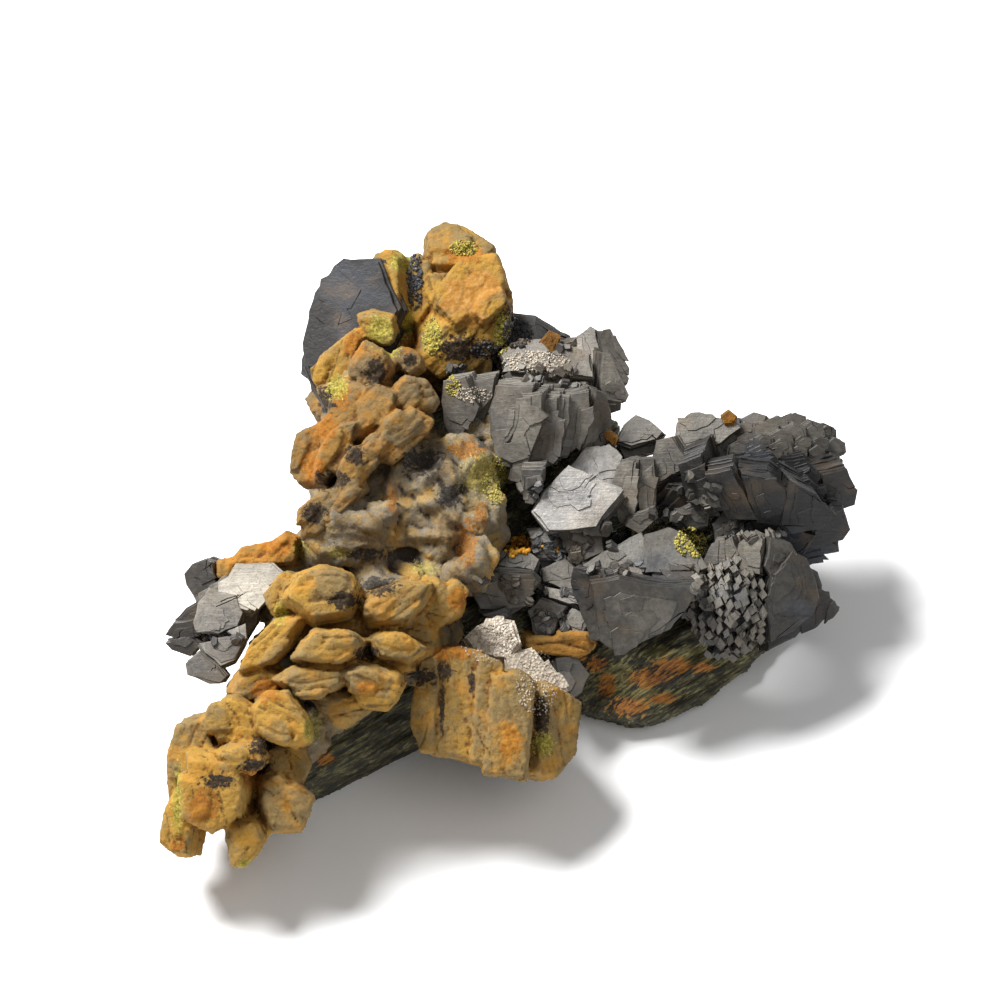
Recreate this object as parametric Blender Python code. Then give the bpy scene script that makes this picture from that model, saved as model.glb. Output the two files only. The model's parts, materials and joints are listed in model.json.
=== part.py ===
"""Arsenopyrite and ilvaite specimen: grey bladed arsenopyrite and ochre-coated ilvaite on dark skarn rock.

Everything is laid out in millimetres on the specimen's display face, the side that a viewer sees when
looking down at it from the front, and is written out in metres. A place is given as how far it lies across
and up that face, and how high it is over the table. Each crystal is a convex solid, those that have grown
together are joined in one solid, and each later solid is cut back to leave a hairline seam to the earlier ones.
"""

import math
import random

import bmesh
import bpy
from mathutils import Matrix, Vector

MM = 0.001
DISPLAY_ELEVATION = math.radians(50.0)
MIDDLE_HEIGHT = 16.0
SEAM = 0.3

RIGHT = Vector((1.0, 0.0, 0.0))
UP = Vector((0.0, math.sin(DISPLAY_ELEVATION), math.cos(DISPLAY_ELEVATION)))
OUT = Vector((0.0, -math.cos(DISPLAY_ELEVATION), math.sin(DISPLAY_ELEVATION)))

SKARN = ("skarn", (0.06, 0.07, 0.05), 0.75, 0.0)
LIMONITE = ("limonite", (0.42, 0.27, 0.11), 0.9, 0.0)
ILVAITE = ("ochre_ilvaite", (0.56, 0.33, 0.09), 0.85, 0.0)
ARSENOPYRITE = ("arsenopyrite", (0.27, 0.26, 0.24), 0.42, 0.75)
DARK_ARSENOPYRITE = ("dark_arsenopyrite", (0.11, 0.11, 0.11), 0.45, 0.6)
BRIGHT_ARSENOPYRITE = ("bright_arsenopyrite", (0.62, 0.6, 0.57), 0.3, 0.85)
QUARTZ_CRUST = ("pale_crust", (0.55, 0.51, 0.47), 0.6, 0.2)


def spot(across, up, height):
    """The point that shows this far across and up the display face, at this height over the table."""
    back = (up - (height - MIDDLE_HEIGHT) * UP.z) / UP.y
    return Vector((across, back, height))


def placing(at, turn=0.0, lean=0.0, yaw=0.0):
    """A crystal's own axes: x along it, turned anticlockwise in the display face, and z out of its front.

    A positive lean makes the front look up, and a positive yaw makes it look right.
    """
    face = Matrix((RIGHT, UP, OUT)).transposed()
    turned = Matrix.Rotation(math.radians(turn), 3, "Z")
    leaned = Matrix.Rotation(math.radians(-lean), 3, "X")
    yawed = Matrix.Rotation(math.radians(yaw), 3, "Y")
    return Matrix.Translation(spot(*at)) @ (face @ yawed @ leaned @ turned).to_4x4()


def meshed(bm):
    """The finished mesh of a bmesh, with its faces out."""
    bm.normal_update()
    bmesh.ops.recalc_face_normals(bm, faces=bm.faces)
    if volume_of(bm.faces) < 0.0:
        bmesh.ops.reverse_faces(bm, faces=bm.faces)
    mesh = bpy.data.meshes.new("crystal")
    bm.to_mesh(mesh)
    bm.free()
    return mesh


def hull(corners, place):
    """The convex solid round a set of corners, put in its place."""
    bm = bmesh.new()
    for corner in corners:
        bm.verts.new(corner)
    wrapped = bmesh.ops.convex_hull(bm, input=bm.verts[:])
    inner = [item for item in wrapped["geom_interior"] if isinstance(item, bmesh.types.BMVert)]
    bmesh.ops.delete(bm, geom=inner, context="VERTS")
    bmesh.ops.dissolve_limit(bm, angle_limit=math.radians(1.0), verts=bm.verts[:], edges=bm.edges[:])
    bm.transform(place)
    return meshed(bm)


def leaf(at, size, turn=0.0, lean=0.0, yaw=0.0, sides=6, rim=0.86, jag=0.1, seed=0):
    """A plate-like crystal of length, width and thickness: a prism whose rim slopes in towards its front."""
    rng = random.Random(seed * 7919 + sides)
    bm = bmesh.new()
    bmesh.ops.create_cone(bm, cap_ends=True, segments=sides, radius1=0.5, radius2=0.5 * rim, depth=1.0)
    reach = [1.0 + rng.uniform(-jag, jag) for _ in range(sides)]
    for vert in bm.verts:
        corner = round(math.atan2(vert.co.x, vert.co.y) * sides / math.tau) % sides
        vert.co.x *= reach[corner]
        vert.co.y *= reach[corner]
    bm.transform(placing(at, turn, lean, yaw) @ Matrix.Diagonal((*size, 1.0)))
    return meshed(bm)


def block(at, size, turn=0.0, lean=0.0, yaw=0.0, chamfer=0.2, skew=0.07, seed=0):
    """A stubby prism of length, width and depth, worn along its longer edges and slightly uneven."""
    rng = random.Random(seed * 104729 + 11)
    bm = bmesh.new()
    bmesh.ops.create_cube(bm, size=1.0)
    for vert in bm.verts:
        vert.co += Vector([rng.uniform(-skew, skew) for _ in range(3)])
    bm.transform(Matrix.Diagonal((*size, 1.0)))
    if chamfer:
        along = 0 if size[0] > size[1] else 1
        worn = [edge for edge in bm.edges if abs(edge.verts[0].co[along] - edge.verts[1].co[along]) > size[along] / 2]
        bmesh.ops.bevel(bm, geom=worn, offset=chamfer * min(size), segments=1, affect="EDGES")
    corners = [vert.co.copy() for vert in bm.verts]
    bm.free()
    return hull(corners, placing(at, turn, lean, yaw))


def plate(outline, height, thick, lean=0.0, yaw=0.0, rim=0.95, shoulder=-0.5):
    """A crystal by where the corners of its front show, each as how far across and up the display face.

    Its sides are upright as far as its shoulder, a share of its thickness out from its middle, and slope in beyond.
    """
    across = sum(corner[0] for corner in outline) / len(outline)
    up = sum(corner[1] for corner in outline) / len(outline)
    corners = []
    for corner in outline:
        x = (corner[0] - across) / math.cos(math.radians(yaw))
        y = (corner[1] - up) / math.cos(math.radians(lean))
        corners.append(Vector((x, y, -thick / 2)))
        corners.append(Vector((x, y, thick * shoulder)))
        corners.append(Vector((x * rim, y * rim, thick / 2)))
    return hull(corners, placing((across, up, height), 0.0, lean, yaw))


def lump(at, radii, turn=0.0, lean=0.0, yaw=0.0, corners=26, squareness=0.75, seed=0):
    """A broken angular lump of rock: the convex solid round corners scattered over a boxy ball."""
    rng = random.Random(seed * 31337 + 5)
    golden = math.pi * (3.0 - math.sqrt(5.0))
    points = []
    for i in range(corners):
        height = 1.0 - 2.0 * (i + 0.5) / corners
        ring = math.sqrt(1.0 - height * height)
        angle = golden * i + rng.uniform(-0.3, 0.3)
        way = (ring * math.cos(angle), ring * math.sin(angle), height)
        boxy = [math.copysign(abs(side) ** squareness, side) for side in way]
        reach = rng.uniform(0.86, 1.04)
        points.append(Vector([boxy[k] * radii[k] * reach for k in range(3)]))
    return hull(points, placing(at, turn, lean, yaw))


def slab(outline, top, inset, waist=4.0, undercut=0.88, seed=0):
    """A slab of rock that lies on the table: its outline at the waist, drawn in below and at the top."""
    rng = random.Random(seed * 4001 + 9)
    middle = Vector((sum(p[0] for p in outline), sum(p[1] for p in outline))) / len(outline)
    points = []
    for corner in outline:
        arm = Vector(corner) - middle
        shrunk = max(0.2, (arm.length - inset) / arm.length)
        levels = ((undercut, 0.0), (1.0, waist * rng.uniform(0.6, 1.4)), (shrunk, top * rng.uniform(0.85, 1.0)))
        for share, height in levels:
            point = middle + arm * share
            points.append(Vector((point.x, point.y, height)))
    return hull(points, Matrix.Identity(4))


def at_back(x, y, z):
    """A point given from the table's origin, as how far across and up the display face it lies, and its height."""
    return (x, y * UP.y + (z - MIDDLE_HEIGHT) * UP.z, z)


def book(at, size, leaves, step, turn=0.0, lean=0.0, yaw=0.0, fan=(0.0, 0.0), seed=0, **shape):
    """Leaves stacked like the pages of a book, each a step away from the one before and fanned from it.

    step is how far the next leaf lies across, up and higher, and fan how much more it turns and yaws.
    """
    rng = random.Random(seed * 271 + 3)
    made = []
    for i in range(leaves):
        grown = rng.uniform(0.88, 1.1)
        place = [at[k] + step[k] * i + rng.uniform(-0.25, 0.25) for k in range(3)]
        made.append(
            leaf(
                place,
                (size[0] * grown, size[1] * rng.uniform(0.9, 1.1), size[2]),
                turn + fan[0] * i + rng.uniform(-3.0, 3.0),
                lean + rng.uniform(-2.0, 2.0),
                yaw + fan[1] * i,
                seed=seed * 50 + i,
                **shape,
            )
        )
    return made


def parallel_growth(at, dome, crystal, count, turn=0.0, lean=0.0, yaw=0.0, seed=0, **shape):
    """Many small crystals that all lie the same way, spread evenly over a dome that faces out."""
    rng = random.Random(seed * 613 + 1)
    middle = placing(at)
    made = []
    golden = math.pi * (3.0 - math.sqrt(5.0))
    for i in range(count):
        share = (i + 0.5) / count
        ring = math.sqrt(share)
        angle = golden * i
        rise = math.sqrt(max(0.0, 1.0 - share))
        offset = Vector((ring * math.cos(angle) * dome[0], ring * math.sin(angle) * dome[1], rise * dome[2]))
        point = middle @ offset
        scale = rng.uniform(0.8, 1.2)
        solid = leaf((0.0, 0.0, 0.0), [side * scale for side in crystal], turn, lean, yaw, seed=seed + i, **shape)
        solid.transform(Matrix.Translation(point - spot(0.0, 0.0, 0.0)))
        made.append(solid)
    return made


def hidden_objects(meshes, name):
    """A collection of helper objects that no render shows."""
    group = bpy.data.collections.new(name)
    group.hide_render = True
    bpy.context.scene.collection.children.link(group)
    for mesh in meshes:
        helper = bpy.data.objects.new(name, mesh)
        helper.hide_render = True
        helper.display_type = "WIRE"
        group.objects.link(helper)
    return group


def combined(mesh, others, operation):
    """The mesh after a Boolean with all the others."""
    if not others:
        return mesh
    base = bpy.data.objects.new("base", mesh)
    bpy.context.scene.collection.objects.link(base)
    group = hidden_objects(others, "operands")
    modifier = base.modifiers.new(operation, "BOOLEAN")
    modifier.operation = operation
    modifier.operand_type = "COLLECTION"
    modifier.collection = group
    bpy.context.view_layer.update()
    graph = bpy.context.evaluated_depsgraph_get()
    result = bpy.data.meshes.new_from_object(base.evaluated_get(graph))
    for helper in list(group.objects):
        bpy.data.objects.remove(helper)
    bpy.data.collections.remove(group)
    bpy.data.objects.remove(base)
    return result


def swollen(mesh, gap):
    """A copy of a convex solid whose faces have all moved out by the gap."""
    bm = bmesh.new()
    bm.from_mesh(mesh)
    bmesh.ops.remove_doubles(bm, verts=bm.verts, dist=0.001)
    bm.normal_update()
    moves = [(vert, vert.normal * gap * min(vert.calc_shell_factor(), 3.0)) for vert in bm.verts]
    for vert, move in moves:
        vert.co += move
    return meshed(bm)


def islands(bm):
    """The separate bodies of a bmesh, each as a set of faces."""
    left = set(bm.faces)
    found = []
    while left:
        seed = left.pop()
        body, edge_of_search = {seed}, [seed]
        while edge_of_search:
            face = edge_of_search.pop()
            near = {other for edge in face.edges for other in edge.link_faces} & left
            left -= near
            body |= near
            edge_of_search += near
        found.append(body)
    return found


def volume_of(faces):
    """The volume that a closed set of faces holds."""
    total = 0.0
    for face in faces:
        corners = [loop.vert.co for loop in face.loops]
        for i in range(1, len(corners) - 1):
            total += corners[0].dot(corners[i].cross(corners[i + 1])) / 6.0
    return total


def largest_body(mesh, name):
    """Only the largest separate body of a mesh: what a cut has broken off is gone."""
    bm = bmesh.new()
    bm.from_mesh(mesh)
    bodies = sorted(islands(bm), key=volume_of)
    for body in bodies[:-1]:
        middle = sum((face.calc_center_median() for face in body), Vector()) / len(body)
        print(f"{name}: a loose body of {volume_of(body):.2f} mm3 left out at {middle}")
        bmesh.ops.delete(bm, geom=list(body), context="FACES")
    return meshed(bm)


def box_of(mesh):
    """The lowest and highest corner of a mesh."""
    points = [vert.co for vert in mesh.vertices]
    low = Vector([min(p[k] for p in points) for k in range(3)])
    high = Vector([max(p[k] for p in points) for k in range(3)])
    return low, high


def boxes_meet(a, b):
    return all(a[0][k] < b[1][k] and b[0][k] < a[1][k] for k in range(3))


def skarn_matrix():
    """The dark rock that everything grew on: ledges with three lobes, broken flat underneath."""
    right = ((-6, -17), (8, -22), (16, -25.2), (19, -24.6), (25, -21), (30, -17), (36, -9), (38, 2), (30, 9), (-2, 10))
    left = ((-34, -22), (-34, -31), (-29, -36), (-23, -36.5), (-15, -31), (-8, -27), (0, -20), (2, 2), (-22, 2))
    back = ((-21, -4), (-23, 12), (-18, 25), (-6, 31), (4, 26), (9, 8), (4, -6))
    return [
        slab(left, 10.0, 7.0, seed=1),
        slab(right, 8.5, 6.0, waist=2.5, seed=2),
        slab(back, 15.0, 5.0, waist=6.0, seed=3),
        lump((26.0, -3.5, 10.0), (11.0, 7.0, 5.5), corners=22, seed=4),
        lump((5.0, 5.0, 13.5), (11.0, 9.5, 6.5), corners=22, seed=5),
        lump((-1.5, -17.0, 9.5), (7.0, 6.0, 5.5), corners=22, seed=6),
    ]


def limonite_ridge():
    """The weathered crust that runs down the left side and carries the ilvaite."""
    return [
        lump((-9.0, -0.5, 23.5), (10.5, 9.5, 8.0), turn=-8, seed=11),
        lump((-15.5, 8.0, 22.0), (8.0, 11.0, 8.0), turn=-6, corners=20, seed=12),
        lump((-14.5, 1.0, 17.0), (10.0, 12.0, 8.0), corners=20, seed=13),
        lump((-17.6, -4.0, 25.0), (7.0, 5.0, 6.0), corners=20, seed=20),
        lump((-15.5, -15.0, 16.5), (11.5, 9.0, 8.5), turn=10, corners=20, seed=14),
        lump((-23.0, -21.0, 14.0), (9.0, 8.5, 9.0), turn=30, corners=20, seed=15),
        lump((-29.5, -29.5, 10.5), (7.5, 9.5, 7.5), turn=-30, corners=20, seed=16),
        lump((-26.0, -10.0, 14.0), (7.5, 5.5, 7.0), turn=20, corners=20, seed=17),
        lump((-0.5, 6.5, 22.0), (5.0, 6.0, 5.0), turn=-50, corners=20, seed=18),
        lump((-3.6, -8.4, 22.5), (4.4, 3.2, 4.5), turn=50, corners=16, seed=19),
    ]


def ilvaite_summit():
    """The big ochre blocks at the top of the display face."""
    return [
        plate(
            ((-8.5, 25.3), (-5.2, 29.6), (-0.1, 30.4), (1.2, 26.4), (-3.3, 22.3), (-5.6, 20.4), (-8.3, 23.2)),
            27.5, 9.0, lean=14, rim=0.9, shoulder=0.25,
        ),
        plate(
            ((-10.6, 20.6), (-8.3, 23.8), (1.1, 26.4), (1.5, 23.2), (0.4, 20.6), (-5.6, 15.6), (-9.6, 19.2)),
            24.5, 9.0, lean=-20, yaw=8, rim=0.84, shoulder=0.2,
        ),
        plate(
            (
                (-9.7, 31.5), (-7.5, 33.1), (-5.7, 33.8), (-4.0, 33.2),
                (-1.7, 31.5), (0.1, 30.4), (-2.0, 27.5), (-9.0, 27.5),
            ),
            25.5, 8.0, lean=28, rim=0.84, shoulder=0.1,
        ),
        plate(
            (
                (-17.3, 25.9), (-15.2, 30.6), (-13.1, 31.5), (-11.7, 30.2),
                (-11.0, 22.5), (-12.0, 21.5), (-17.6, 23.9),
            ),
            27.0, 9.0, lean=12, yaw=-14, rim=0.82, shoulder=0.1,
        ),
        plate(
            ((-18.0, 23.2), (-15.9, 23.8), (-13.1, 23.2), (-12.7, 20.8), (-14.5, 19.2), (-16.6, 20.0)),
            29.0, 8.0, lean=-4, rim=0.82, shoulder=0.2,
        ),
        plate(
            (
                (-22.5, 17.8), (-21.0, 18.7), (-17.8, 21.5), (-16.4, 20.4),
                (-18.4, 13.6), (-20.6, 12.4), (-22.4, 14.6),
            ),
            27.0, 7.0, lean=2, yaw=-8, rim=0.8, shoulder=0.1,
        ),
        plate(
            ((-12.2, 30.2), (-10.2, 31.0), (-8.6, 29.6), (-8.4, 24.0), (-10.4, 20.6), (-11.6, 22.5)),
            25.0, 7.0, lean=14, rim=0.86, shoulder=0.2,
        ),
        block((-7.6, 21.5, 18.5), (14.0, 14.0, 13.0), seed=27),
    ]


def ilvaite_ridge():
    """Stubby crystals stacked along the top of the ridge."""
    return [
        plate(
            (
                (-18.5, 16.6), (-16.6, 19.7), (-14.1, 18.3), (-12.9, 16.2),
                (-14.5, 13.4), (-16.6, 14.0), (-18.5, 15.0),
            ),
            33.5, 7.0, lean=4, yaw=-6, rim=0.84, shoulder=0.2,
        ),
        plate(
            (
                (-13.8, 12.9), (-11.7, 15.2), (-9.2, 14.8), (-7.5, 12.2),
                (-8.2, 10.8), (-11.9, 10.8), (-13.8, 10.6),
            ),
            33.0, 7.0, yaw=8, rim=0.84, shoulder=0.2,
        ),
        plate(
            ((-12.9, 18.0), (-11.3, 18.9), (-9.6, 17.8), (-9.2, 16.0), (-11.0, 15.0), (-12.7, 16.0)),
            31.8, 6.0, rim=0.8, shoulder=0.1,
        ),
        plate(
            ((-14.2, 9.2), (-11.2, 11.5), (-8.4, 10.0), (-9.2, 8.4), (-13.6, 4.4), (-15.2, 4.8)),
            32.6, 7.0, lean=-4, yaw=12, rim=0.92, shoulder=0.35,
        ),
        plate(
            (
                (-20.8, 11.3), (-19.0, 14.5), (-16.6, 14.1), (-13.6, 12.7),
                (-13.6, 10.4), (-16.0, 7.0), (-20.2, 5.0),
            ),
            32.0, 8.0, lean=6, yaw=-10, rim=0.84, shoulder=0.2,
        ),
        plate(
            ((-22.8, 2.0), (-21.8, 5.8), (-19.4, 9.4), (-17.0, 9.8), (-18.0, 6.8), (-21.2, 1.6)),
            31.0, 7.0, lean=4, rim=0.82, shoulder=0.2,
        ),
        plate(
            ((-19.8, 1.4), (-19.0, 4.6), (-15.6, 8.2), (-13.8, 7.2), (-15.0, 4.2), (-18.0, 1.0)),
            31.4, 7.0, lean=-4, yaw=4, rim=0.82, shoulder=0.2,
        ),
        plate(
            (
                (-24.3, -4.8), (-23.9, -1.4), (-20.8, 1.4), (-17.0, 3.4),
                (-15.8, 1.2), (-18.6, -1.4), (-22.4, -5.0),
            ),
            28.0, 8.0, rim=0.8, shoulder=0.2,
        ),
        plate(
            (
                (-24.2, 1.4), (-23.6, 4.6), (-22.8, 6.8), (-22.4, 9.4),
                (-20.6, 10.2), (-19.6, 7.0), (-22.2, 1.6),
            ),
            27.6, 7.0, yaw=-18, rim=0.82, shoulder=0.1,
        ),
        block((-16.0, 9.5, 28.0), (9.0, 12.0, 8.0), turn=20, seed=30),
    ]


def ilvaite_stack():
    """Rounded blades that lie one over another like loaves, below the ridge."""
    return [
        plate(
            (
                (-26.4, -12.2), (-24.8, -9.0), (-21.3, -7.7), (-17.8, -8.8),
                (-16.4, -11.0), (-17.9, -14.4), (-22.5, -15.2),
            ),
            28.6, 8.0, lean=6, rim=0.78, shoulder=0.1,
        ),
        plate(
            (
                (-16.8, -12.4), (-15.2, -11.0), (-12.4, -9.8), (-7.9, -10.0),
                (-9.0, -12.6), (-11.2, -15.4), (-16.2, -15.4),
            ),
            27.0, 8.0, lean=4, yaw=6, rim=0.78, shoulder=0.1,
        ),
        plate(
            (
                (-25.2, -19.2), (-23.7, -16.8), (-22.2, -15.4), (-18.3, -15.6),
                (-15.9, -16.9), (-16.9, -18.9), (-19.3, -20.1),
            ),
            26.4, 7.5, lean=2, rim=0.78, shoulder=0.1,
        ),
        plate(
            (
                (-15.9, -16.5), (-14.1, -15.6), (-12.4, -15.7), (-10.2, -16.9),
                (-8.6, -18.0), (-10.8, -19.6), (-15.2, -19.0),
            ),
            24.8, 7.0, yaw=8, rim=0.76, shoulder=0.1,
        ),
        plate(
            (
                (-27.6, -21.6), (-25.0, -20.0), (-22.1, -19.7), (-18.2, -20.3),
                (-18.2, -21.8), (-19.8, -23.0), (-25.0, -23.0),
            ),
            23.4, 7.0, lean=-2, rim=0.76, shoulder=0.1,
        ),
        plate(
            (
                (-18.7, -20.8), (-15.3, -19.8), (-12.1, -20.6), (-11.3, -21.9),
                (-12.2, -23.9), (-13.5, -25.3), (-17.2, -24.8),
            ),
            22.4, 7.5, lean=-6, yaw=4, rim=0.78, shoulder=0.1,
        ),
        plate(
            ((-31.4, -21.4), (-30.0, -17.8), (-26.4, -14.0), (-22.4, -13.6), (-24.0, -16.6), (-28.0, -20.6)),
            23.0, 8.0, yaw=-14, rim=0.78, shoulder=0.1,
        ),
        plate(
            ((-33.2, -23.2), (-31.8, -21.0), (-28.0, -19.6), (-25.2, -20.6), (-26.4, -22.8), (-30.4, -24.0)),
            19.4, 7.0, lean=-8, rim=0.78, shoulder=0.1,
        ),
        plate(
            ((-28.4, -11.4), (-26.0, -8.6), (-24.4, -9.2), (-24.0, -13.2), (-27.0, -14.4)),
            25.6, 7.0, yaw=-12, rim=0.78, shoulder=0.1,
        ),
        plate(
            (
                (-10.0, -11.0), (-8.4, -9.0), (-5.4, -11.0), (-4.2, -12.4),
                (-4.8, -14.2), (-8.4, -16.0), (-10.6, -13.6),
            ),
            24.0, 7.0, yaw=14, rim=0.76, shoulder=0.1,
        ),
        plate(
            ((-23.0, -23.4), (-18.4, -22.6), (-14.6, -24.4), (-16.6, -26.2), (-20.6, -26.4)),
            20.0, 6.0, lean=-14, rim=0.76, shoulder=0.1,
        ),
        block((-16.5, -15.8, 22.0), (17.0, 10.0, 8.0), turn=8, seed=52),
    ]


def ilvaite_foot():
    """The blocks at the lower left end."""
    return [
        plate(
            (
                (-29.8, -25.0), (-28.1, -23.0), (-25.2, -22.8), (-22.7, -26.4),
                (-22.5, -28.8), (-24.4, -29.8), (-29.2, -28.0),
            ),
            21.4, 8.5, lean=4, rim=0.84, shoulder=0.2,
        ),
        plate(
            ((-34.4, -26.6), (-33.0, -23.6), (-31.4, -23.3), (-29.6, -24.7), (-28.6, -28.8), (-33.6, -29.2)),
            19.6, 8.0, yaw=-6, rim=0.84, shoulder=0.2,
        ),
        plate(
            ((-33.4, -29.7), (-32.2, -28.8), (-28.5, -28.5), (-27.6, -31.0), (-29.4, -32.7), (-32.2, -31.4)),
            19.0, 7.0, lean=-10, rim=0.8, shoulder=0.2,
        ),
        plate(
            (
                (-37.4, -30.0), (-33.7, -29.8), (-30.6, -31.7), (-29.7, -34.0),
                (-30.4, -37.5), (-34.3, -39.8), (-36.4, -39.0),
            ),
            15.4, 9.0, lean=-6, yaw=-6, rim=0.84, shoulder=0.2,
        ),
        plate(
            (
                (-38.8, -34.7), (-36.5, -36.0), (-35.8, -39.4), (-36.7, -43.0),
                (-38.7, -42.8), (-40.6, -41.3), (-40.0, -37.2),
            ),
            10.6, 8.0, yaw=-10, rim=0.82, shoulder=0.1,
        ),
        plate(
            (
                (-32.7, -38.3), (-29.4, -37.4), (-27.7, -40.0), (-29.1, -42.4),
                (-30.7, -44.0), (-32.0, -43.7), (-33.0, -40.4),
            ),
            10.0, 8.5, lean=-6, rim=0.8, shoulder=0.2,
        ),
        plate(
            (
                (-29.2, -33.2), (-27.0, -32.4), (-24.4, -34.4), (-22.6, -35.7),
                (-24.0, -40.0), (-27.9, -39.9), (-29.2, -36.6),
            ),
            12.8, 8.5, yaw=8, rim=0.82, shoulder=0.2,
        ),
        plate(
            ((-39.6, -32.6), (-37.8, -26.4), (-34.6, -25.4), (-33.0, -31.0), (-36.0, -38.0), (-39.2, -37.4)),
            13.0, 8.0, yaw=-14, rim=0.86, shoulder=0.2,
        ),
        plate(
            ((-27.6, -29.2), (-24.0, -29.0), (-22.8, -32.0), (-24.6, -36.0), (-28.4, -33.6)),
            14.6, 7.0, lean=-4, rim=0.84, shoulder=0.2,
        ),
    ]


def ilvaite_front_block():
    """The fluted block that stands out in front, a bundle of upright prisms."""
    return [
        plate(
            ((-9.8, -24.0), (-8.6, -18.9), (-6.4, -18.2), (-7.0, -30.8), (-8.8, -30.6), (-10.1, -27.2)),
            15.4, 10.0, yaw=-10, rim=0.94, shoulder=0.38,
        ),
        plate(
            ((-7.4, -18.0), (-5.0, -17.8), (-2.2, -18.2), (-3.6, -31.6), (-8.0, -30.9)),
            15.9, 10.5, rim=0.94, shoulder=0.4,
        ),
        plate(
            ((-3.4, -18.4), (-0.4, -19.6), (-0.8, -32.4), (-4.4, -31.8)),
            15.0, 10.5, yaw=10, rim=0.94, shoulder=0.4,
        ),
        plate(
            ((-0.8, -20.8), (2.4, -20.6), (4.2, -22.0), (3.2, -33.8), (-2.2, -33.0)),
            15.4, 10.0, lean=-2, rim=0.94, shoulder=0.4,
        ),
        plate(
            ((2.4, -22.6), (4.4, -22.0), (7.9, -24.2), (7.2, -30.8), (4.6, -34.2), (1.8, -33.4)),
            12.0, 9.0, yaw=34, rim=0.88, shoulder=0.2,
        ),
    ]


def pale_crystals():
    """Two pale crusted crystals behind the front block."""
    return [
        plate(
            (
                (-5.0, -17.5), (-3.1, -15.8), (0.0, -14.9), (1.9, -15.2),
                (2.8, -18.1), (1.4, -20.4), (-3.6, -20.0),
            ),
            17.0, 5.0, lean=18, rim=0.84,
        ),
        plate(
            (
                (0.0, -19.0), (3.9, -18.1), (5.7, -20.4), (8.3, -24.6),
                (6.5, -25.8), (4.5, -26.1), (0.6, -23.4),
            ),
            14.2, 5.0, lean=8, yaw=12, rim=0.88,
        ),
    ]


def dark_top_plate():
    """The dark rounded plate that stands behind the summit."""
    outline = (
        (-24.7, 19.7), (-23.9, 23.9), (-23.2, 26.4), (-20.9, 29.4), (-19.6, 30.4), (-14.8, 30.4), (-12.0, 24.0),
        (-17.0, 13.0), (-21.6, 11.0), (-23.2, 13.2), (-24.3, 16.2),
    )
    behind = tuple((across * 0.985 + 0.5, up * 0.97 + 0.5) for across, up in outline)
    return [
        plate(outline, 26.4, 2.6, lean=4, yaw=-14, rim=0.95),
        plate(behind, 24.4, 3.0, lean=8, yaw=-10, rim=0.96),
        plate(behind, 22.0, 3.4, lean=6, yaw=-12, rim=0.94),
    ]


def great_book():
    """The big bundle of upright leaves in the middle of the upper edge."""
    return [
        plate(
            (
                (-0.9, 11.4), (0.2, 14.8), (4.8, 14.5), (4.2, 11.1),
                (3.2, 8.2), (1.6, 4.0), (0.4, 4.4), (-0.8, 8.2),
            ),
            27.4, 5.0, lean=-8, yaw=-12, rim=0.95,
        ),
        plate(
            ((3.6, 13.6), (6.1, 13.8), (5.8, 9.5), (3.9, 5.2), (2.5, 2.2), (1.3, 2.5), (2.1, 6.2)),
            26.7, 5.0, lean=-9, yaw=-16, rim=0.95,
        ),
        plate(
            ((5.4, 13.6), (7.7, 13.5), (7.5, 10.1), (6.2, 4.4), (5.3, 4.0), (3.7, 4.4), (4.6, 8.5)),
            26.2, 5.0, lean=-9, yaw=-10, rim=0.95,
        ),
        plate(
            ((2.9, 4.6), (5.8, 4.6), (5.5, 2.4), (4.4, -0.1), (3.4, 0.1), (2.7, 2.1)),
            24.6, 4.5, lean=-14, yaw=-6, rim=0.93,
        ),
        plate(
            ((7.0, 13.4), (8.9, 13.2), (8.9, 10.1), (7.9, 7.0), (6.9, 4.5), (5.9, 4.4), (6.4, 8.5)),
            25.9, 5.0, lean=-8, yaw=-8, rim=0.95,
        ),
        plate(
            ((8.4, 13.6), (10.8, 14.1), (11.0, 11.7), (10.1, 8.9), (8.2, 5.3), (7.2, 5.4), (8.0, 9.0)),
            25.4, 5.0, lean=-8, yaw=2, rim=0.95,
        ),
        plate(
            ((10.4, 14.4), (11.6, 14.0), (12.7, 11.1), (12.9, 9.6), (12.3, 7.3), (8.9, 5.8), (9.4, 9.4)),
            23.8, 5.0, lean=-10, yaw=34, rim=0.95,
        ),
        plate(
            ((0.0, 14.4), (0.8, 16.6), (2.3, 17.9), (5.4, 18.3), (6.3, 17.2), (6.3, 14.6)),
            25.6, 6.0, lean=26, rim=0.92,
        ),
        plate(
            ((5.7, 17.2), (8.6, 18.3), (11.3, 17.2), (11.5, 14.0), (6.0, 14.4)),
            25.2, 6.0, lean=22, yaw=6, rim=0.92,
        ),
        plate(
            ((-0.4, 17.6), (2.4, 19.3), (5.0, 19.2), (8.4, 18.9), (9.0, 16.6), (0.4, 16.0)),
            23.4, 5.0, lean=22, rim=0.88,
        ),
        plate(
            ((1.0, 15.0), (11.0, 15.0), (10.4, 8.0), (5.4, 4.6), (2.2, 6.4)),
            21.4, 6.0, lean=-6, rim=0.96,
        ),
    ]


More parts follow.
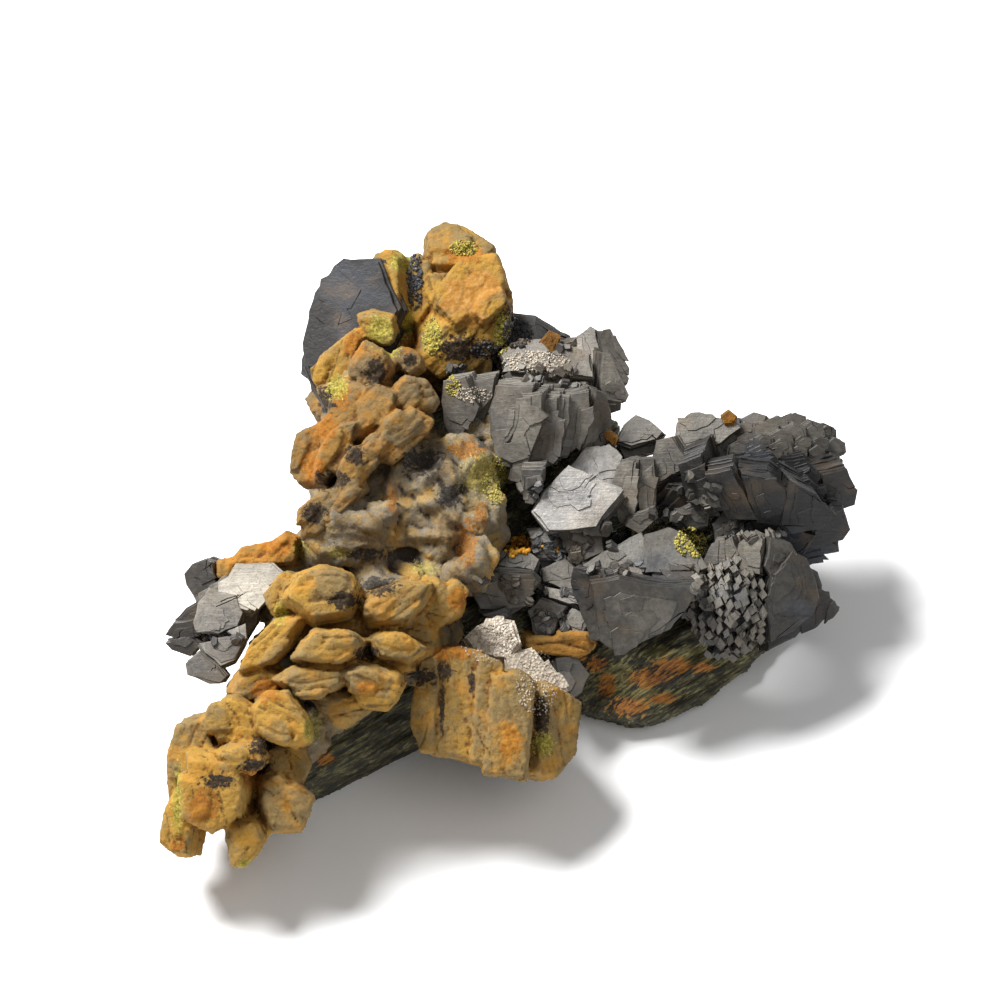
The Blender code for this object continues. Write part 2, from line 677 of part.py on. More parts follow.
def left_book():
    """The smaller bundle at the great book's left."""
    return [
        plate(
            (
                (-6.8, 12.5), (-6.4, 15.2), (-3.5, 15.7), (-2.4, 12.4),
                (-3.6, 9.4), (-4.2, 7.4), (-5.6, 7.5), (-6.6, 9.5),
            ),
            26.4, 4.6, lean=-8, yaw=-14, rim=0.95,
        ),
        plate(
            ((-4.4, 15.2), (-0.1, 15.9), (-0.4, 13.2), (-2.6, 10.2), (-3.8, 7.4), (-4.8, 9.4)),
            25.4, 4.6, lean=-6, yaw=-6, rim=0.94,
        ),
        plate(
            ((-2.8, 13.4), (-0.3, 13.4), (-0.6, 11.0), (-2.0, 8.5), (-3.6, 7.2), (-3.4, 10.0)),
            23.8, 4.4, lean=-8, yaw=4, rim=0.94,
        ),
    ]


def wedge_crystals():
    """Sharp wedges at the great book's right shoulder."""
    return [
        plate(
            ((8.0, 18.0), (8.9, 19.6), (11.8, 21.5), (12.5, 21.1), (13.4, 17.4), (12.6, 15.4), (9.6, 16.4)),
            24.4, 4.4, lean=12, yaw=-12, rim=0.94,
        ),
        plate(
            ((11.7, 21.2), (12.7, 21.2), (15.7, 15.1), (15.4, 14.2), (14.4, 14.4), (12.2, 18.4)),
            23.8, 4.4, lean=4, yaw=22, rim=0.94,
        ),
        plate(
            ((11.9, 18.9), (12.7, 18.7), (15.6, 13.2), (15.1, 12.2), (12.2, 12.7), (11.6, 14.2)),
            24.2, 4.4, lean=-8, yaw=18, rim=0.94,
        ),
        plate(
            ((11.8, 14.0), (15.0, 13.4), (15.0, 12.2), (13.2, 11.6), (12.0, 12.2)),
            22.6, 4.0, lean=-34, yaw=8, rim=0.9,
        ),
    ]


def bright_plate():
    """The plate that faces the light, with its neighbour behind."""
    outline = (
        (3.9, -1.6), (5.2, 0.9), (8.0, 3.8), (11.2, 3.2), (15.2, 1.3), (14.3, 0.0), (11.9, -3.4), (8.9, -3.9), (5.9, -4.0),
    )
    under = tuple((across * 0.97 + 0.8, up * 0.93 - 0.7) for across, up in outline)
    return [
        plate(outline, 23.6, 1.8, lean=12, yaw=-3, rim=0.97),
        plate(under, 21.9, 2.4, lean=10, yaw=-2, rim=0.96),
        plate(
            ((8.2, 3.4), (10.6, 6.0), (12.4, 6.2), (14.5, 4.9), (16.2, 3.4), (15.0, 0.6), (10.0, 0.0)),
            21.6, 4.0, lean=20, yaw=6, rim=0.95,
        ),
    ]


def column_book():
    """A short upright bundle between the bright plate and the rosette."""
    return [
        plate(
            (
                (14.3, 2.4), (15.0, 4.8), (16.6, 5.5), (17.6, 5.2),
                (17.2, 0.0), (16.6, -3.4), (15.3, -2.8), (14.4, -0.4),
            ),
            20.8, 4.4, lean=-4, yaw=-16, rim=0.94,
        ),
        plate(
            ((17.0, 5.2), (18.8, 5.4), (19.3, 2.1), (19.1, -1.4), (17.2, -2.6), (16.6, 1.6)),
            20.4, 4.4, lean=-2, yaw=10, rim=0.94,
        ),
        plate(
            ((15.6, -2.2), (19.0, -0.9), (19.5, -1.9), (17.0, -4.1), (15.2, -3.0)),
            20.6, 3.4, lean=-10, rim=0.93,
        ),
    ]


def saddle_fan():
    """A small fan on the skyline between the two arms."""
    return [
        plate(
            ((14.5, 6.9), (15.3, 9.0), (16.9, 10.4), (18.7, 9.7), (20.5, 8.2), (19.8, 7.2), (16.4, 6.2)),
            21.6, 2.4, lean=14, yaw=-4, rim=0.95,
        ),
        plate(
            ((14.6, 6.6), (16.0, 8.6), (19.4, 8.6), (20.5, 7.9), (19.7, 6.0), (15.6, 4.8)),
            19.6, 2.6, lean=6, rim=0.95,
        ),
    ]


def shoulder_leaves():
    """Flat leaves at the great rosette's left shoulder, with a stack of dark edges below."""
    upper = [
        plate(
            (
                (21.8, 7.6), (22.0, 9.5), (23.4, 10.4), (26.0, 10.3), (29.4, 9.8),
                (30.4, 8.8), (27.8, 6.8), (24.8, 5.6), (22.8, 5.4),
            ),
            22.4, 3.0, lean=12, yaw=-6, rim=0.95,
        ),
        plate(
            ((19.0, 4.4), (19.9, 7.5), (21.9, 8.0), (23.6, 5.4), (23.5, 3.6), (19.5, 1.4), (19.0, 2.4)),
            22.0, 3.0, yaw=-14, rim=0.95,
        ),
    ]
    edges = book(
        (21.7, 1.6, 19.8), (6.6, 4.6, 1.5), 4, (0.4, -0.8, -0.4), turn=24, lean=-34, yaw=-4,
        sides=5, rim=0.94, jag=0.08, seed=175,
    )
    below = [
        plate(
            ((21.2, -1.6), (24.6, 0.2), (26.6, -0.2), (25.8, -3.1), (23.6, -3.7)),
            19.0, 3.4, lean=-12, rim=0.93,
        ),
        leaf((24.4, 5.0, 19.0), (9.0, 7.4, 5.5), turn=30, sides=6, seed=179),
    ]
    return upper + edges + below


def great_rosette():
    """The big dark rosette at the right end: scales like roof tiles above, and smooth dark faces below."""
    faces = [
        plate(
            ((23.0, 5.8), (26.0, 7.0), (26.8, 3.0), (27.6, -0.6), (25.4, -0.9), (23.4, 3.0)),
            22.2, 7.4, lean=-22, yaw=-14,
        ),
        plate(
            ((25.6, 4.2), (28.9, 4.8), (30.6, 2.0), (32.3, -1.8), (28.4, -1.8), (27.4, -0.2)),
            23.4, 4.5, lean=-24, yaw=-8,
        ),
        plate(
            ((29.5, 4.2), (33.1, 3.8), (35.7, 2.1), (36.2, -0.5), (34.6, -2.5), (31.6, -2.0), (30.4, 1.0)),
            23.2, 5.0, lean=-26,
        ),
        plate(
            ((34.4, 3.6), (38.2, 1.8), (40.8, -1.2), (39.2, -2.7), (35.6, -3.3), (34.1, -2.0)),
            21.6, 5.0, lean=-28, yaw=10,
        ),
        plate(
            ((38.5, 4.2), (41.7, 5.0), (43.6, 2.2), (43.5, 0.2), (40.8, -0.9), (38.9, 0.4)),
            19.4, 5.0, lean=-20, yaw=22,
        ),
        plate(
            (
                (37.3, -3.1), (40.1, 0.3), (41.6, 0.1), (43.0, -2.7),
                (42.2, -4.1), (39.0, -5.2), (36.5, -5.2),
            ),
            17.6, 4.5, lean=-26, yaw=14,
        ),
        plate(
            ((33.0, -3.5), (36.9, -4.4), (42.1, -3.3), (42.3, -5.8), (36.6, -6.9), (34.5, -5.6)),
            14.6, 3.4, lean=-24, yaw=4,
        ),
        plate(
            ((30.7, -1.1), (36.1, -2.0), (39.0, -3.0), (37.7, -5.6), (32.9, -4.7), (31.5, -3.3)),
            18.4, 5.0, lean=-30,
        ),
    ]
    scales = parallel_growth(
        (33.4, 5.0, 15.4), (9.0, 5.0, 7.6), (5.0, 3.8, 2.4), 24, turn=4, lean=-16, yaw=2,
        sides=6, rim=0.84, jag=0.12, seed=201,
    )
    return faces + scales + [leaf((33.8, 1.0, 17.6), (16.5, 10.0, 7.0), sides=8, rim=0.8, seed=189)]


def brick_rosette():
    """The lower rosette: tiny steps like bricks in front, and smooth leaves fanned to the right."""
    bricks = parallel_growth(
        (28.4, -13.2, 13.6), (4.4, 5.4, 4.8), (3.4, 2.6, 3.4), 18, turn=35, lean=0, yaw=-8,
        sides=4, rim=0.9, jag=0.05, seed=291,
    )
    leaves = [
        plate(
            (
                (32.5, -9.4), (35.6, -6.2), (36.9, -6.8), (38.3, -10.0), (38.8, -12.0),
                (37.6, -14.5), (35.6, -16.2), (32.6, -17.7), (31.6, -13.0),
            ),
            15.4, 4.0, lean=-4, yaw=22, rim=0.95,
        ),
        plate(
            (
                (37.0, -7.6), (39.0, -8.8), (39.6, -10.6), (39.3, -12.6),
                (38.2, -14.9), (36.3, -17.1), (32.6, -18.8), (32.4, -12.0),
            ),
            12.6, 3.6, lean=-4, yaw=14, rim=0.95,
        ),
        plate(
            ((32.4, -4.3), (35.0, -5.0), (35.8, -6.3), (35.0, -7.6), (32.6, -9.8), (31.6, -8.0)),
            18.6, 4.4, yaw=26, rim=0.95,
        ),
        plate(
            ((29.8, -5.4), (31.4, -3.7), (32.7, -4.3), (32.5, -9.4), (30.2, -9.2), (29.4, -7.4)),
            19.2, 4.4, lean=2, yaw=-10, rim=0.94,
        ),
        plate(
            ((25.4, -7.9), (27.0, -4.6), (28.2, -4.4), (28.6, -8.6), (26.4, -9.2)),
            18.4, 4.0, lean=4, yaw=-18, rim=0.92,
        ),
        plate(
            ((28.0, -5.0), (29.3, -4.2), (30.2, -6.6), (28.6, -9.4), (27.6, -8.4)),
            18.8, 4.0, yaw=-24, rim=0.92,
        ),
        plate(
            ((26.0, -17.0), (28.6, -16.0), (31.0, -16.8), (29.6, -18.3), (27.2, -18.3)),
            12.0, 4.0, lean=-20, rim=0.9,
        ),
        plate(
            ((26.2, -2.7), (27.6, -0.9), (29.4, -1.4), (30.5, -3.6), (29.2, -4.4), (26.6, -5.4)),
            18.0, 4.0, lean=-4, rim=0.93,
        ),
    ]
    return bricks + leaves


def front_fan():
    """The broad fan at the middle of the right arm."""
    return [
        plate(
            (
                (10.6, -9.4), (14.1, -8.8), (20.0, -10.0), (24.4, -9.9), (22.8, -12.6),
                (20.7, -15.3), (16.2, -17.3), (13.3, -17.8), (11.8, -16.8),
            ),
            19.4, 4.4, lean=-12, yaw=6, rim=0.96,
        ),
        plate(
            (
                (9.4, -9.4), (9.8, -8.0), (13.2, -8.6), (14.0, -12.0),
                (13.2, -17.0), (11.6, -16.9), (10.6, -13.8), (9.7, -11.1),
            ),
            18.8, 4.4, lean=-10, yaw=-24, rim=0.95,
        ),
        plate(
            ((9.7, -8.5), (12.4, -6.8), (17.4, -4.4), (18.6, -6.0), (19.2, -8.8), (15.0, -9.6), (10.4, -9.6)),
            19.8, 4.0, lean=16, rim=0.96,
        ),
        plate(
            (
                (16.6, -8.8), (17.6, -4.6), (20.7, -3.7), (22.6, -4.6),
                (23.9, -6.4), (25.4, -8.8), (23.8, -9.4),
            ),
            20.4, 4.0, lean=12, yaw=4, rim=0.96,
        ),
        plate(
            ((18.4, -8.8), (25.0, -8.9), (24.6, -10.4), (19.0, -10.6)),
            19.4, 3.0, lean=-2, yaw=4, rim=0.94,
        ),
        plate(
            ((11.0, -8.0), (22.0, -6.0), (23.0, -11.0), (17.0, -15.0), (12.0, -13.0)),
            16.4, 5.0, lean=-2, rim=0.96,
        ),
    ]


def hollow_leaves():
    """Smaller leaves in the hollow between the ridge and the front fan."""
    return [
        plate(
            (
                (-4.0, -10.8), (-3.4, -9.0), (0.0, -8.5), (4.1, -8.9),
                (5.0, -9.9), (2.8, -12.7), (0.0, -13.5), (-2.6, -13.2),
            ),
            18.6, 3.4, lean=-12, yaw=4, rim=0.95,
        ),
        plate(
            ((-0.4, -8.6), (0.0, -6.6), (3.1, -6.4), (4.9, -7.8), (4.2, -9.2)),
            18.8, 3.0, lean=22, rim=0.94,
        ),
        plate(
            ((-3.4, -9.4), (3.8, -8.6), (3.6, -12.6), (0.8, -14.6), (-2.8, -13.6)),
            15.6, 5.0, rim=0.95,
        ),
        plate(
            ((-2.4, -13.9), (0.8, -12.8), (1.4, -13.4), (-0.2, -14.6)),
            17.6, 2.4, lean=-8, yaw=4, rim=0.92,
        ),
    ]


def stair_leaves():
    """A stair of little plates just left of the front fan."""
    return [
        plate(
            ((5.0, -8.8), (7.9, -7.3), (9.4, -8.2), (9.7, -11.2), (8.2, -11.5), (5.1, -10.2)),
            16.4, 2.6, lean=12, rim=0.95,
        ),
        plate(
            ((5.3, -10.8), (8.7, -11.2), (10.3, -11.6), (10.5, -13.1), (8.3, -13.0), (5.9, -12.2)),
            15.6, 2.4, lean=16, rim=0.94,
        ),
        plate(
            (
                (3.4, -13.4), (5.0, -11.8), (8.4, -12.9), (7.3, -14.9),
                (6.9, -16.3), (5.2, -17.0), (4.1, -16.1),
            ),
            14.0, 3.4, lean=-6, rim=0.94,
        ),
        plate(
            ((7.1, -14.9), (8.9, -13.2), (10.9, -14.1), (10.9, -15.4), (10.0, -16.8), (7.6, -16.4)),
            13.6, 3.0, lean=6, rim=0.94,
        ),
        plate(((4.6, -9.6), (9.6, -9.2), (10.4, -15.0), (5.0, -16.2)), 11.8, 4.6, rim=0.96),
        plate(((3.4, -3.8), (7.2, -3.2), (9.4, -5.2), (7.6, -7.6), (4.6, -7.4)), 17.4, 4.0, lean=-6),
        plate(((8.0, -4.4), (12.4, -4.2), (12.8, -6.6), (9.6, -8.2), (7.8, -6.4)), 18.0, 4.0, lean=10),
        plate(((4.4, -4.4), (11.4, -4.6), (10.8, -11.4), (5.4, -11.8)), 13.8, 6.0),
    ]


def edge_plate():
    """A small six-sided plate above the broken front edge."""
    outline = ((6.3, -19.6), (8.9, -19.2), (10.7, -21.6), (9.7, -24.0), (8.5, -24.6), (6.6, -21.6))
    return [plate(outline, 9.4, 4.4, lean=4, yaw=8, rim=0.95)]


def left_cluster():
    """Bright, grey and dark leaves that stick out at the left."""
    return [
        plate(
            (
                (-34.4, -10.4), (-33.1, -9.6), (-32.1, -7.9), (-27.7, -7.8),
                (-26.0, -9.2), (-28.4, -11.8), (-30.4, -14.0), (-34.2, -12.9),
            ),
            21.8, 2.4, lean=14, yaw=-4, rim=0.96,
        ),
        plate(
            (
                (-37.4, -15.2), (-36.8, -12.7), (-35.4, -10.7), (-32.0, -11.6),
                (-31.1, -13.9), (-31.8, -15.6), (-34.2, -16.6), (-37.1, -16.1),
            ),
            19.6, 3.0, lean=4, yaw=-8, rim=0.95,
        ),
        plate(
            ((-36.8, -17.6), (-33.6, -17.0), (-30.8, -17.4), (-32.2, -19.8), (-34.1, -20.6), (-36.2, -18.8)),
            18.0, 3.2, lean=6, rim=0.94,
        ),
        plate(
            (
                (-38.1, -19.7), (-36.4, -18.2), (-34.1, -20.0), (-33.0, -21.4),
                (-33.6, -22.3), (-35.0, -22.3), (-37.8, -21.2),
            ),
            17.4, 3.4, yaw=-6, rim=0.94,
        ),
        plate(
            ((-33.4, -16.0), (-31.0, -15.0), (-30.8, -17.0), (-31.6, -17.6)),
            19.4, 2.4, lean=10, rim=0.93,
        ),
        plate(
            (
                (-38.5, -9.0), (-37.4, -7.7), (-35.8, -7.1), (-34.8, -7.5),
                (-34.2, -10.4), (-36.9, -12.5), (-38.2, -10.4),
            ),
            17.6, 3.2, lean=-4, yaw=-14, rim=0.95,
        ),
        plate(
            ((-39.8, -14.8), (-38.3, -13.2), (-36.6, -12.2), (-35.4, -14.0), (-37.0, -15.4)),
            17.2, 2.0, lean=-6, yaw=-10, rim=0.93,
        ),
        plate(
            ((-41.0, -16.3), (-39.8, -14.7), (-36.4, -14.0), (-36.0, -16.4), (-39.4, -16.8)),
            16.6, 2.2, lean=-10, yaw=-8, rim=0.93,
        ),
        plate(
            ((-40.9, -17.2), (-37.7, -16.4), (-36.2, -17.4), (-37.6, -19.0), (-40.1, -18.1)),
            15.4, 2.2, lean=-12, yaw=-6, rim=0.93,
        ),
        plate(
            ((-37.4, -12.0), (-33.0, -9.0), (-29.0, -10.0), (-29.6, -15.0), (-32.4, -19.6), (-36.4, -20.4)),
            15.8, 5.4, rim=0.96,
        ),
    ]


def limonite_left_bar():
    """The yellow-stained bar above the left cluster."""
    return [
        plate(
            ((-34.8, -7.5), (-32.6, -7.0), (-32.0, -8.8), (-33.4, -10.2), (-34.6, -9.6)),
            18.6, 5.0, rim=0.82, shoulder=0.1,
        ),
        plate(
            ((-32.8, -7.6), (-31.8, -6.0), (-28.0, -5.3), (-26.8, -7.2), (-29.0, -9.0), (-32.2, -8.8)),
            19.4, 6.0, lean=10, rim=0.8, shoulder=0.1,
        ),
        plate(
            ((-28.8, -6.0), (-26.4, -3.8), (-24.6, -4.6), (-25.0, -8.0), (-28.4, -8.6)),
            20.4, 7.0, rim=0.8, shoulder=0.1,
        ),
    ]


def limonite_front_bar():
    """The orange bar that edges the little stair."""
    return [
        plate(
            (
                (2.3, -16.3), (5.1, -16.3), (9.2, -17.2), (11.7, -17.0),
                (11.7, -18.2), (10.2, -19.3), (6.9, -18.9), (2.7, -18.2),
            ),
            12.0, 5.0, lean=-10, rim=0.84, shoulder=0.1,
        ),
    ]


def back_leaves():
    """Grey leaves on the far side, out of the viewer's sight."""
    return [
        leaf(at_back(6, 26, 13), (14, 11, 4), turn=70, lean=60, yaw=150, sides=7, seed=261),
        leaf(at_back(-1, 29, 11), (12, 9, 4), turn=95, lean=50, yaw=175, sides=7, seed=262),
        leaf(at_back(3, 23, 20), (11, 8, 5), turn=40, lean=65, yaw=160, sides=6, seed=263),
    ]


def back_blocks():
    """Ochre blocks on the far side of the ridge."""
    return [
        block(at_back(-18, 18, 12), (9, 9, 10), turn=20, lean=40, yaw=-120, seed=271),
        block(at_back(-11, 24, 12), (10, 9, 10), turn=-20, lean=45, yaw=170, seed=272),
        block(at_back(-20, 9, 12), (9, 9, 9), turn=10, lean=30, yaw=-100, seed=273),
    ]


NODES = (
    ("skarn_matrix", SKARN, skarn_matrix),
    ("limonite_ridge", LIMONITE, limonite_ridge),
    ("ilvaite_front_block", ILVAITE, ilvaite_front_block),
    ("ilvaite_stack", ILVAITE, ilvaite_stack),
    ("ilvaite_foot", ILVAITE, ilvaite_foot),
    ("ilvaite_ridge", ILVAITE, ilvaite_ridge),
    ("ilvaite_summit", ILVAITE, ilvaite_summit),
    ("arsenopyrite_great_book", ARSENOPYRITE, great_book),
    ("arsenopyrite_great_rosette", DARK_ARSENOPYRITE, great_rosette),
    ("arsenopyrite_bright_plate", BRIGHT_ARSENOPYRITE, bright_plate),
    ("arsenopyrite_front_fan", ARSENOPYRITE, front_fan),
    ("arsenopyrite_brick_rosette", ARSENOPYRITE, brick_rosette),
    ("arsenopyrite_left_book", ARSENOPYRITE, left_book),
    ("arsenopyrite_wedges", ARSENOPYRITE, wedge_crystals),
    ("arsenopyrite_column", ARSENOPYRITE, column_book),
    ("arsenopyrite_saddle_fan", ARSENOPYRITE, saddle_fan),
    ("arsenopyrite_shoulder", DARK_ARSENOPYRITE, shoulder_leaves),
    ("arsenopyrite_dark_plate", DARK_ARSENOPYRITE, dark_top_plate),
    ("arsenopyrite_left_cluster", ARSENOPYRITE, left_cluster),
    ("arsenopyrite_hollow_leaves", DARK_ARSENOPYRITE, hollow_leaves),
    ("arsenopyrite_stair", ARSENOPYRITE, stair_leaves),
    ("arsenopyrite_edge_plate", DARK_ARSENOPYRITE, edge_plate),
    ("arsenopyrite_back_leaves", ARSENOPYRITE, back_leaves),
    ("pale_crystals", QUARTZ_CRUST, pale_crystals),
    ("limonite_left_bar", LIMONITE, limonite_left_bar),
    ("limonite_front_bar", LIMONITE, limonite_front_bar),
    ("ilvaite_back_blocks", ILVAITE, back_blocks),
)


def material(name, colour, roughness, metallic):
    """A Principled material, made once for each name."""
    found = bpy.data.materials.get(name)
    if found:
        return found
    made = bpy.data.materials.new(name)
    made.use_nodes = True
    shader = made.node_tree.nodes["Principled BSDF"]
    shader.inputs["Base Color"].default_value = (*colour, 1.0)
    shader.inputs["Roughness"].default_value = roughness
    shader.inputs["Metallic"].default_value = metallic
    return made


def on_table(mesh):
    """The mesh with what would lie below the table broken off flat."""
    bm = bmesh.new()
    bm.from_mesh(mesh)
    cut = bmesh.ops.bisect_plane(
        bm,
        geom=bm.verts[:] + bm.edges[:] + bm.faces[:],
        plane_co=(0.0, 0.0, 0.0),
        plane_no=(0.0, 0.0, -1.0),
        clear_outer=True,
    )
    rims = [item for item in cut["geom_cut"] if isinstance(item, bmesh.types.BMEdge)]
    if rims:
        bmesh.ops.edgeloop_fill(bm, edges=rims)
    return meshed(bm)


def main():
    for obj in list(bpy.data.objects):
        bpy.data.objects.remove(obj)
    specimen = bpy.data.collections.new("arsenopyrite_ilvaite_specimen")
    bpy.context.scene.collection.children.link(specimen)

    solids = []
    cutters = []
    for name, look, grow in NODES:
        crystals = grow()
        reach = [box_of(crystal) for crystal in crystals]
        swelled = [swollen(crystal, SEAM) for crystal in crystals]
        mesh = combined(crystals[0].copy(), crystals[1:], "UNION")
        near = [cutter for cutter in cutters if any(boxes_meet(box_of(cutter), box) for box in reach)]
        mesh = combined(mesh, near, "DIFFERENCE")
        mesh = largest_body(on_table(mesh), name)
        cutters += swelled
        solids.append((name, look, mesh))

    low = Vector([min(box_of(mesh)[0][k] for _, _, mesh in solids) for k in range(3)])
    high = Vector([max(box_of(mesh)[1][k] for _, _, mesh in solids) for k in range(3)])
    shift = Matrix.Translation(Vector((-(low.x + high.x) / 2, -(low.y + high.y) / 2, -low.z)))
    for name, look, mesh in solids:
        mesh.transform(Matrix.Scale(MM, 4) @ shift)
        mesh.name = name
        mesh.materials.clear()
        mesh.materials.append(material(*look))
        mesh.set_sharp_from_angle(angle=math.radians(20.0))
        specimen.objects.link(bpy.data.objects.new(name, mesh))
    print("middle of the outline", (low + high) / 2, "size", high - low)


main()
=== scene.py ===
"""Looks of the arsenopyrite and ilvaite specimen: every crystal cluster grown again in fine detail.

Lengths are in millimetres until a finished mesh is put in its place. A place is given as how far it lies
across and up the display face, the side seen from above the front, and how high it is over the table.
"""

import json
import math
import random
from functools import partial

import bmesh
import bpy
import numpy as np
from mathutils import Matrix, Vector, noise
from mathutils.bvhtree import BVHTree

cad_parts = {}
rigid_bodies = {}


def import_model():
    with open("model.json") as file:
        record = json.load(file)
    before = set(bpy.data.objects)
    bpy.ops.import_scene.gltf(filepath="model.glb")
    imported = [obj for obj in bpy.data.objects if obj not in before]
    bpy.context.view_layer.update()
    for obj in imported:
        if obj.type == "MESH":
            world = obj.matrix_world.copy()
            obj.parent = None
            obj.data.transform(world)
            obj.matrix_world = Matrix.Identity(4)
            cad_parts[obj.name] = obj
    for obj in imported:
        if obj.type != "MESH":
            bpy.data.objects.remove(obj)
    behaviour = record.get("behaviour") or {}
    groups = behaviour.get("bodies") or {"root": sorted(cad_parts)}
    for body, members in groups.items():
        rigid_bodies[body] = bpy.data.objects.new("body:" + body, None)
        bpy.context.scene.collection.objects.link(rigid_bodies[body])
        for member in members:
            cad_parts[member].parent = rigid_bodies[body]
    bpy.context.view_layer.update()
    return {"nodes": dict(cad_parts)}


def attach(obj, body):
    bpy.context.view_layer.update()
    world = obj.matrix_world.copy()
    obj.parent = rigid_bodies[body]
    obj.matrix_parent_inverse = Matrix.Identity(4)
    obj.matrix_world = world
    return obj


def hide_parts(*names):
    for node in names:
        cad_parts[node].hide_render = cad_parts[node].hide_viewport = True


MM = 0.001

# How far down the camera looks, how high the point is that it looks at, and where the middle of the footprint
# lies from under that point.
DISPLAY_ELEVATION = math.radians(50.0)
MIDDLE_HEIGHT = 16.0
FOOTPRINT_MIDDLE = Vector((1.7749, -8.3466, 0.0))

# How wide the picture is at the specimen, how far off the camera stands, and how wide its sensor is.
PHOTO_WIDTH = 125.0
CAMERA_DISTANCE = 700.0
SENSOR_WIDTH = 36.0

# Across the display face, up it, and out of it towards the camera.
RIGHT = Vector((1.0, 0.0, 0.0))
UP = Vector((0.0, math.sin(DISPLAY_ELEVATION), math.cos(DISPLAY_ELEVATION)))
OUT = Vector((0.0, -math.cos(DISPLAY_ELEVATION), math.sin(DISPLAY_ELEVATION)))

# A leaf splits in sheets: how thick they are, how wide and deep the teeth on their sides are, how far an
# edge is worn, how far a sheet slides, how many degrees it turns and tilts, how many chips lie on a square
# millimetre, and how often a leaf is cracked.
SHEET = 0.5
TOOTH = 1.3
BITE = 0.16
ARRIS = 0.07
SLIDE = 0.18
TURN = 1.2
CHIPS = 0.02
CRACKED = 0.2

# How uneven a block's corners are, and the size of the small faces that the earthy meshes are made of.
SKEW = 0.07
EARTH_GRAIN = 0.28
CRUST_GRAIN = 0.34
ROCK_GRAIN = 0.42

# How many degrees the rock's fibres are turned, below which height the rock is flat, how high the rest
# stands off the table at the least, and how many times the surface is evened out to find its hollows.
FIBRE_TURN = 38.0
FLAT_BELOW = 0.4
LEAST_HEIGHT = 0.02
EVENINGS = 12


def spot(across, up, height):
    """The point that shows this far across and up the display face, at this height over the table."""
    back = (up - (height - MIDDLE_HEIGHT) * UP.z) / UP.y
    return Vector((across, back, height))


def at_back(x, y, z):
    """A point given from the table's origin, as its place across and up the display face and its height."""
    return (x, y * UP.y + (z - MIDDLE_HEIGHT) * UP.z, z)


def placing(at, turn=0.0, lean=0.0, yaw=0.0):
    """A crystal's own axes: x along it, turned anticlockwise in the display face, and z out of its front."""
    face = Matrix((RIGHT, UP, OUT)).transposed()
    turned = Matrix.Rotation(math.radians(turn), 3, "Z")
    leaned = Matrix.Rotation(math.radians(-lean), 3, "X")
    yawed = Matrix.Rotation(math.radians(yaw), 3, "Y")
    return Matrix.Translation(spot(*at)) @ (face @ yawed @ leaned @ turned).to_4x4()


def leaf(at, size, turn=0.0, lean=0.0, yaw=0.0, sides=6, rim=0.86, jag=0.1, seed=0, shade=0.0):
    """A plate-like crystal of length, width and thickness, with a brightness that is painted light over 0 and
    painted shade under 0.
    """
    rng = random.Random(seed * 7919 + sides)
    corners = []
    for i in range(sides):
        angle = math.tau * i / sides
        reach = 0.5 * (1.0 + rng.uniform(-jag, jag))
        corners.append(Vector((math.sin(angle) * reach * size[0], math.cos(angle) * reach * size[1])))
    return {
        "place": placing(at, turn, lean, yaw), "corners": corners, "thick": size[2],
        "rim": rim, "seed": seed, "shade": shade,
    }


# A plate's brightness is painted light over 0 and painted shade under 0: lighter where a leaf faces the lamp.
def plate(height, thick, *outline, lean=0.0, yaw=0.0, rim=0.95, shoulder=-0.5, seed=0, shade=0.0):
    """A crystal by its height over the table, its thickness, and where the corners of its front show.

    Each corner is how far it lies across and up the display face.
    """
    across = sum(corner[0] for corner in outline) / len(outline)
    up = sum(corner[1] for corner in outline) / len(outline)
    wider = 1.0 / math.cos(math.radians(yaw))
    taller = 1.0 / math.cos(math.radians(lean))
    return {
        "place": placing((across, up, height), 0.0, lean, yaw),
        "corners": [Vector(((corner[0] - across) * wider, (corner[1] - up) * taller)) for corner in outline],
        "thick": thick, "rim": rim, "shoulder": shoulder, "seed": seed, "shade": shade,
    }


def block(at, size, turn=0.0, lean=0.0, yaw=0.0, seed=0):
    """A stubby prism of length, width and depth, slightly uneven."""
    rng = random.Random(seed * 104729 + 11)
    corners = []
    for x, y in ((-0.5, -0.5), (0.5, -0.5), (0.5, 0.5), (-0.5, 0.5)):
        along = (x + rng.uniform(-SKEW, SKEW)) * size[0]
        corners.append(Vector((along, (y + rng.uniform(-SKEW, SKEW)) * size[1])))
    return {
        "place": placing(at, turn, lean, yaw), "corners": corners, "thick": size[2],
        "rim": 0.86, "shoulder": 0.3, "seed": seed, "shade": 0.0,
    }


def moved(crystal, point):
    """A crystal that was made in the middle of the display face, put at a point."""
    crystal["place"] = Matrix.Translation(point - spot(0.0, 0.0, 0.0)) @ crystal["place"]
    return crystal


def book(at, size, leaves, step, turn, lean, yaw, seed, **shape):
    """Leaves stacked like the pages of a book, each a step away from the one before."""
    rng = random.Random(seed * 271 + 3)
    made = []
    for i in range(leaves):
        grown = rng.uniform(0.88, 1.1)
        place = [at[k] + step[k] * i + rng.uniform(-0.25, 0.25) for k in range(3)]
        width = size[1] * rng.uniform(0.9, 1.1)
        turned = turn + rng.uniform(-3.0, 3.0)
        leaned = lean + rng.uniform(-2.0, 2.0)
        page = (size[0] * grown, width, size[2])
        made.append(leaf(place, page, turned, leaned, yaw, seed=seed * 50 + i, **shape))
    return made


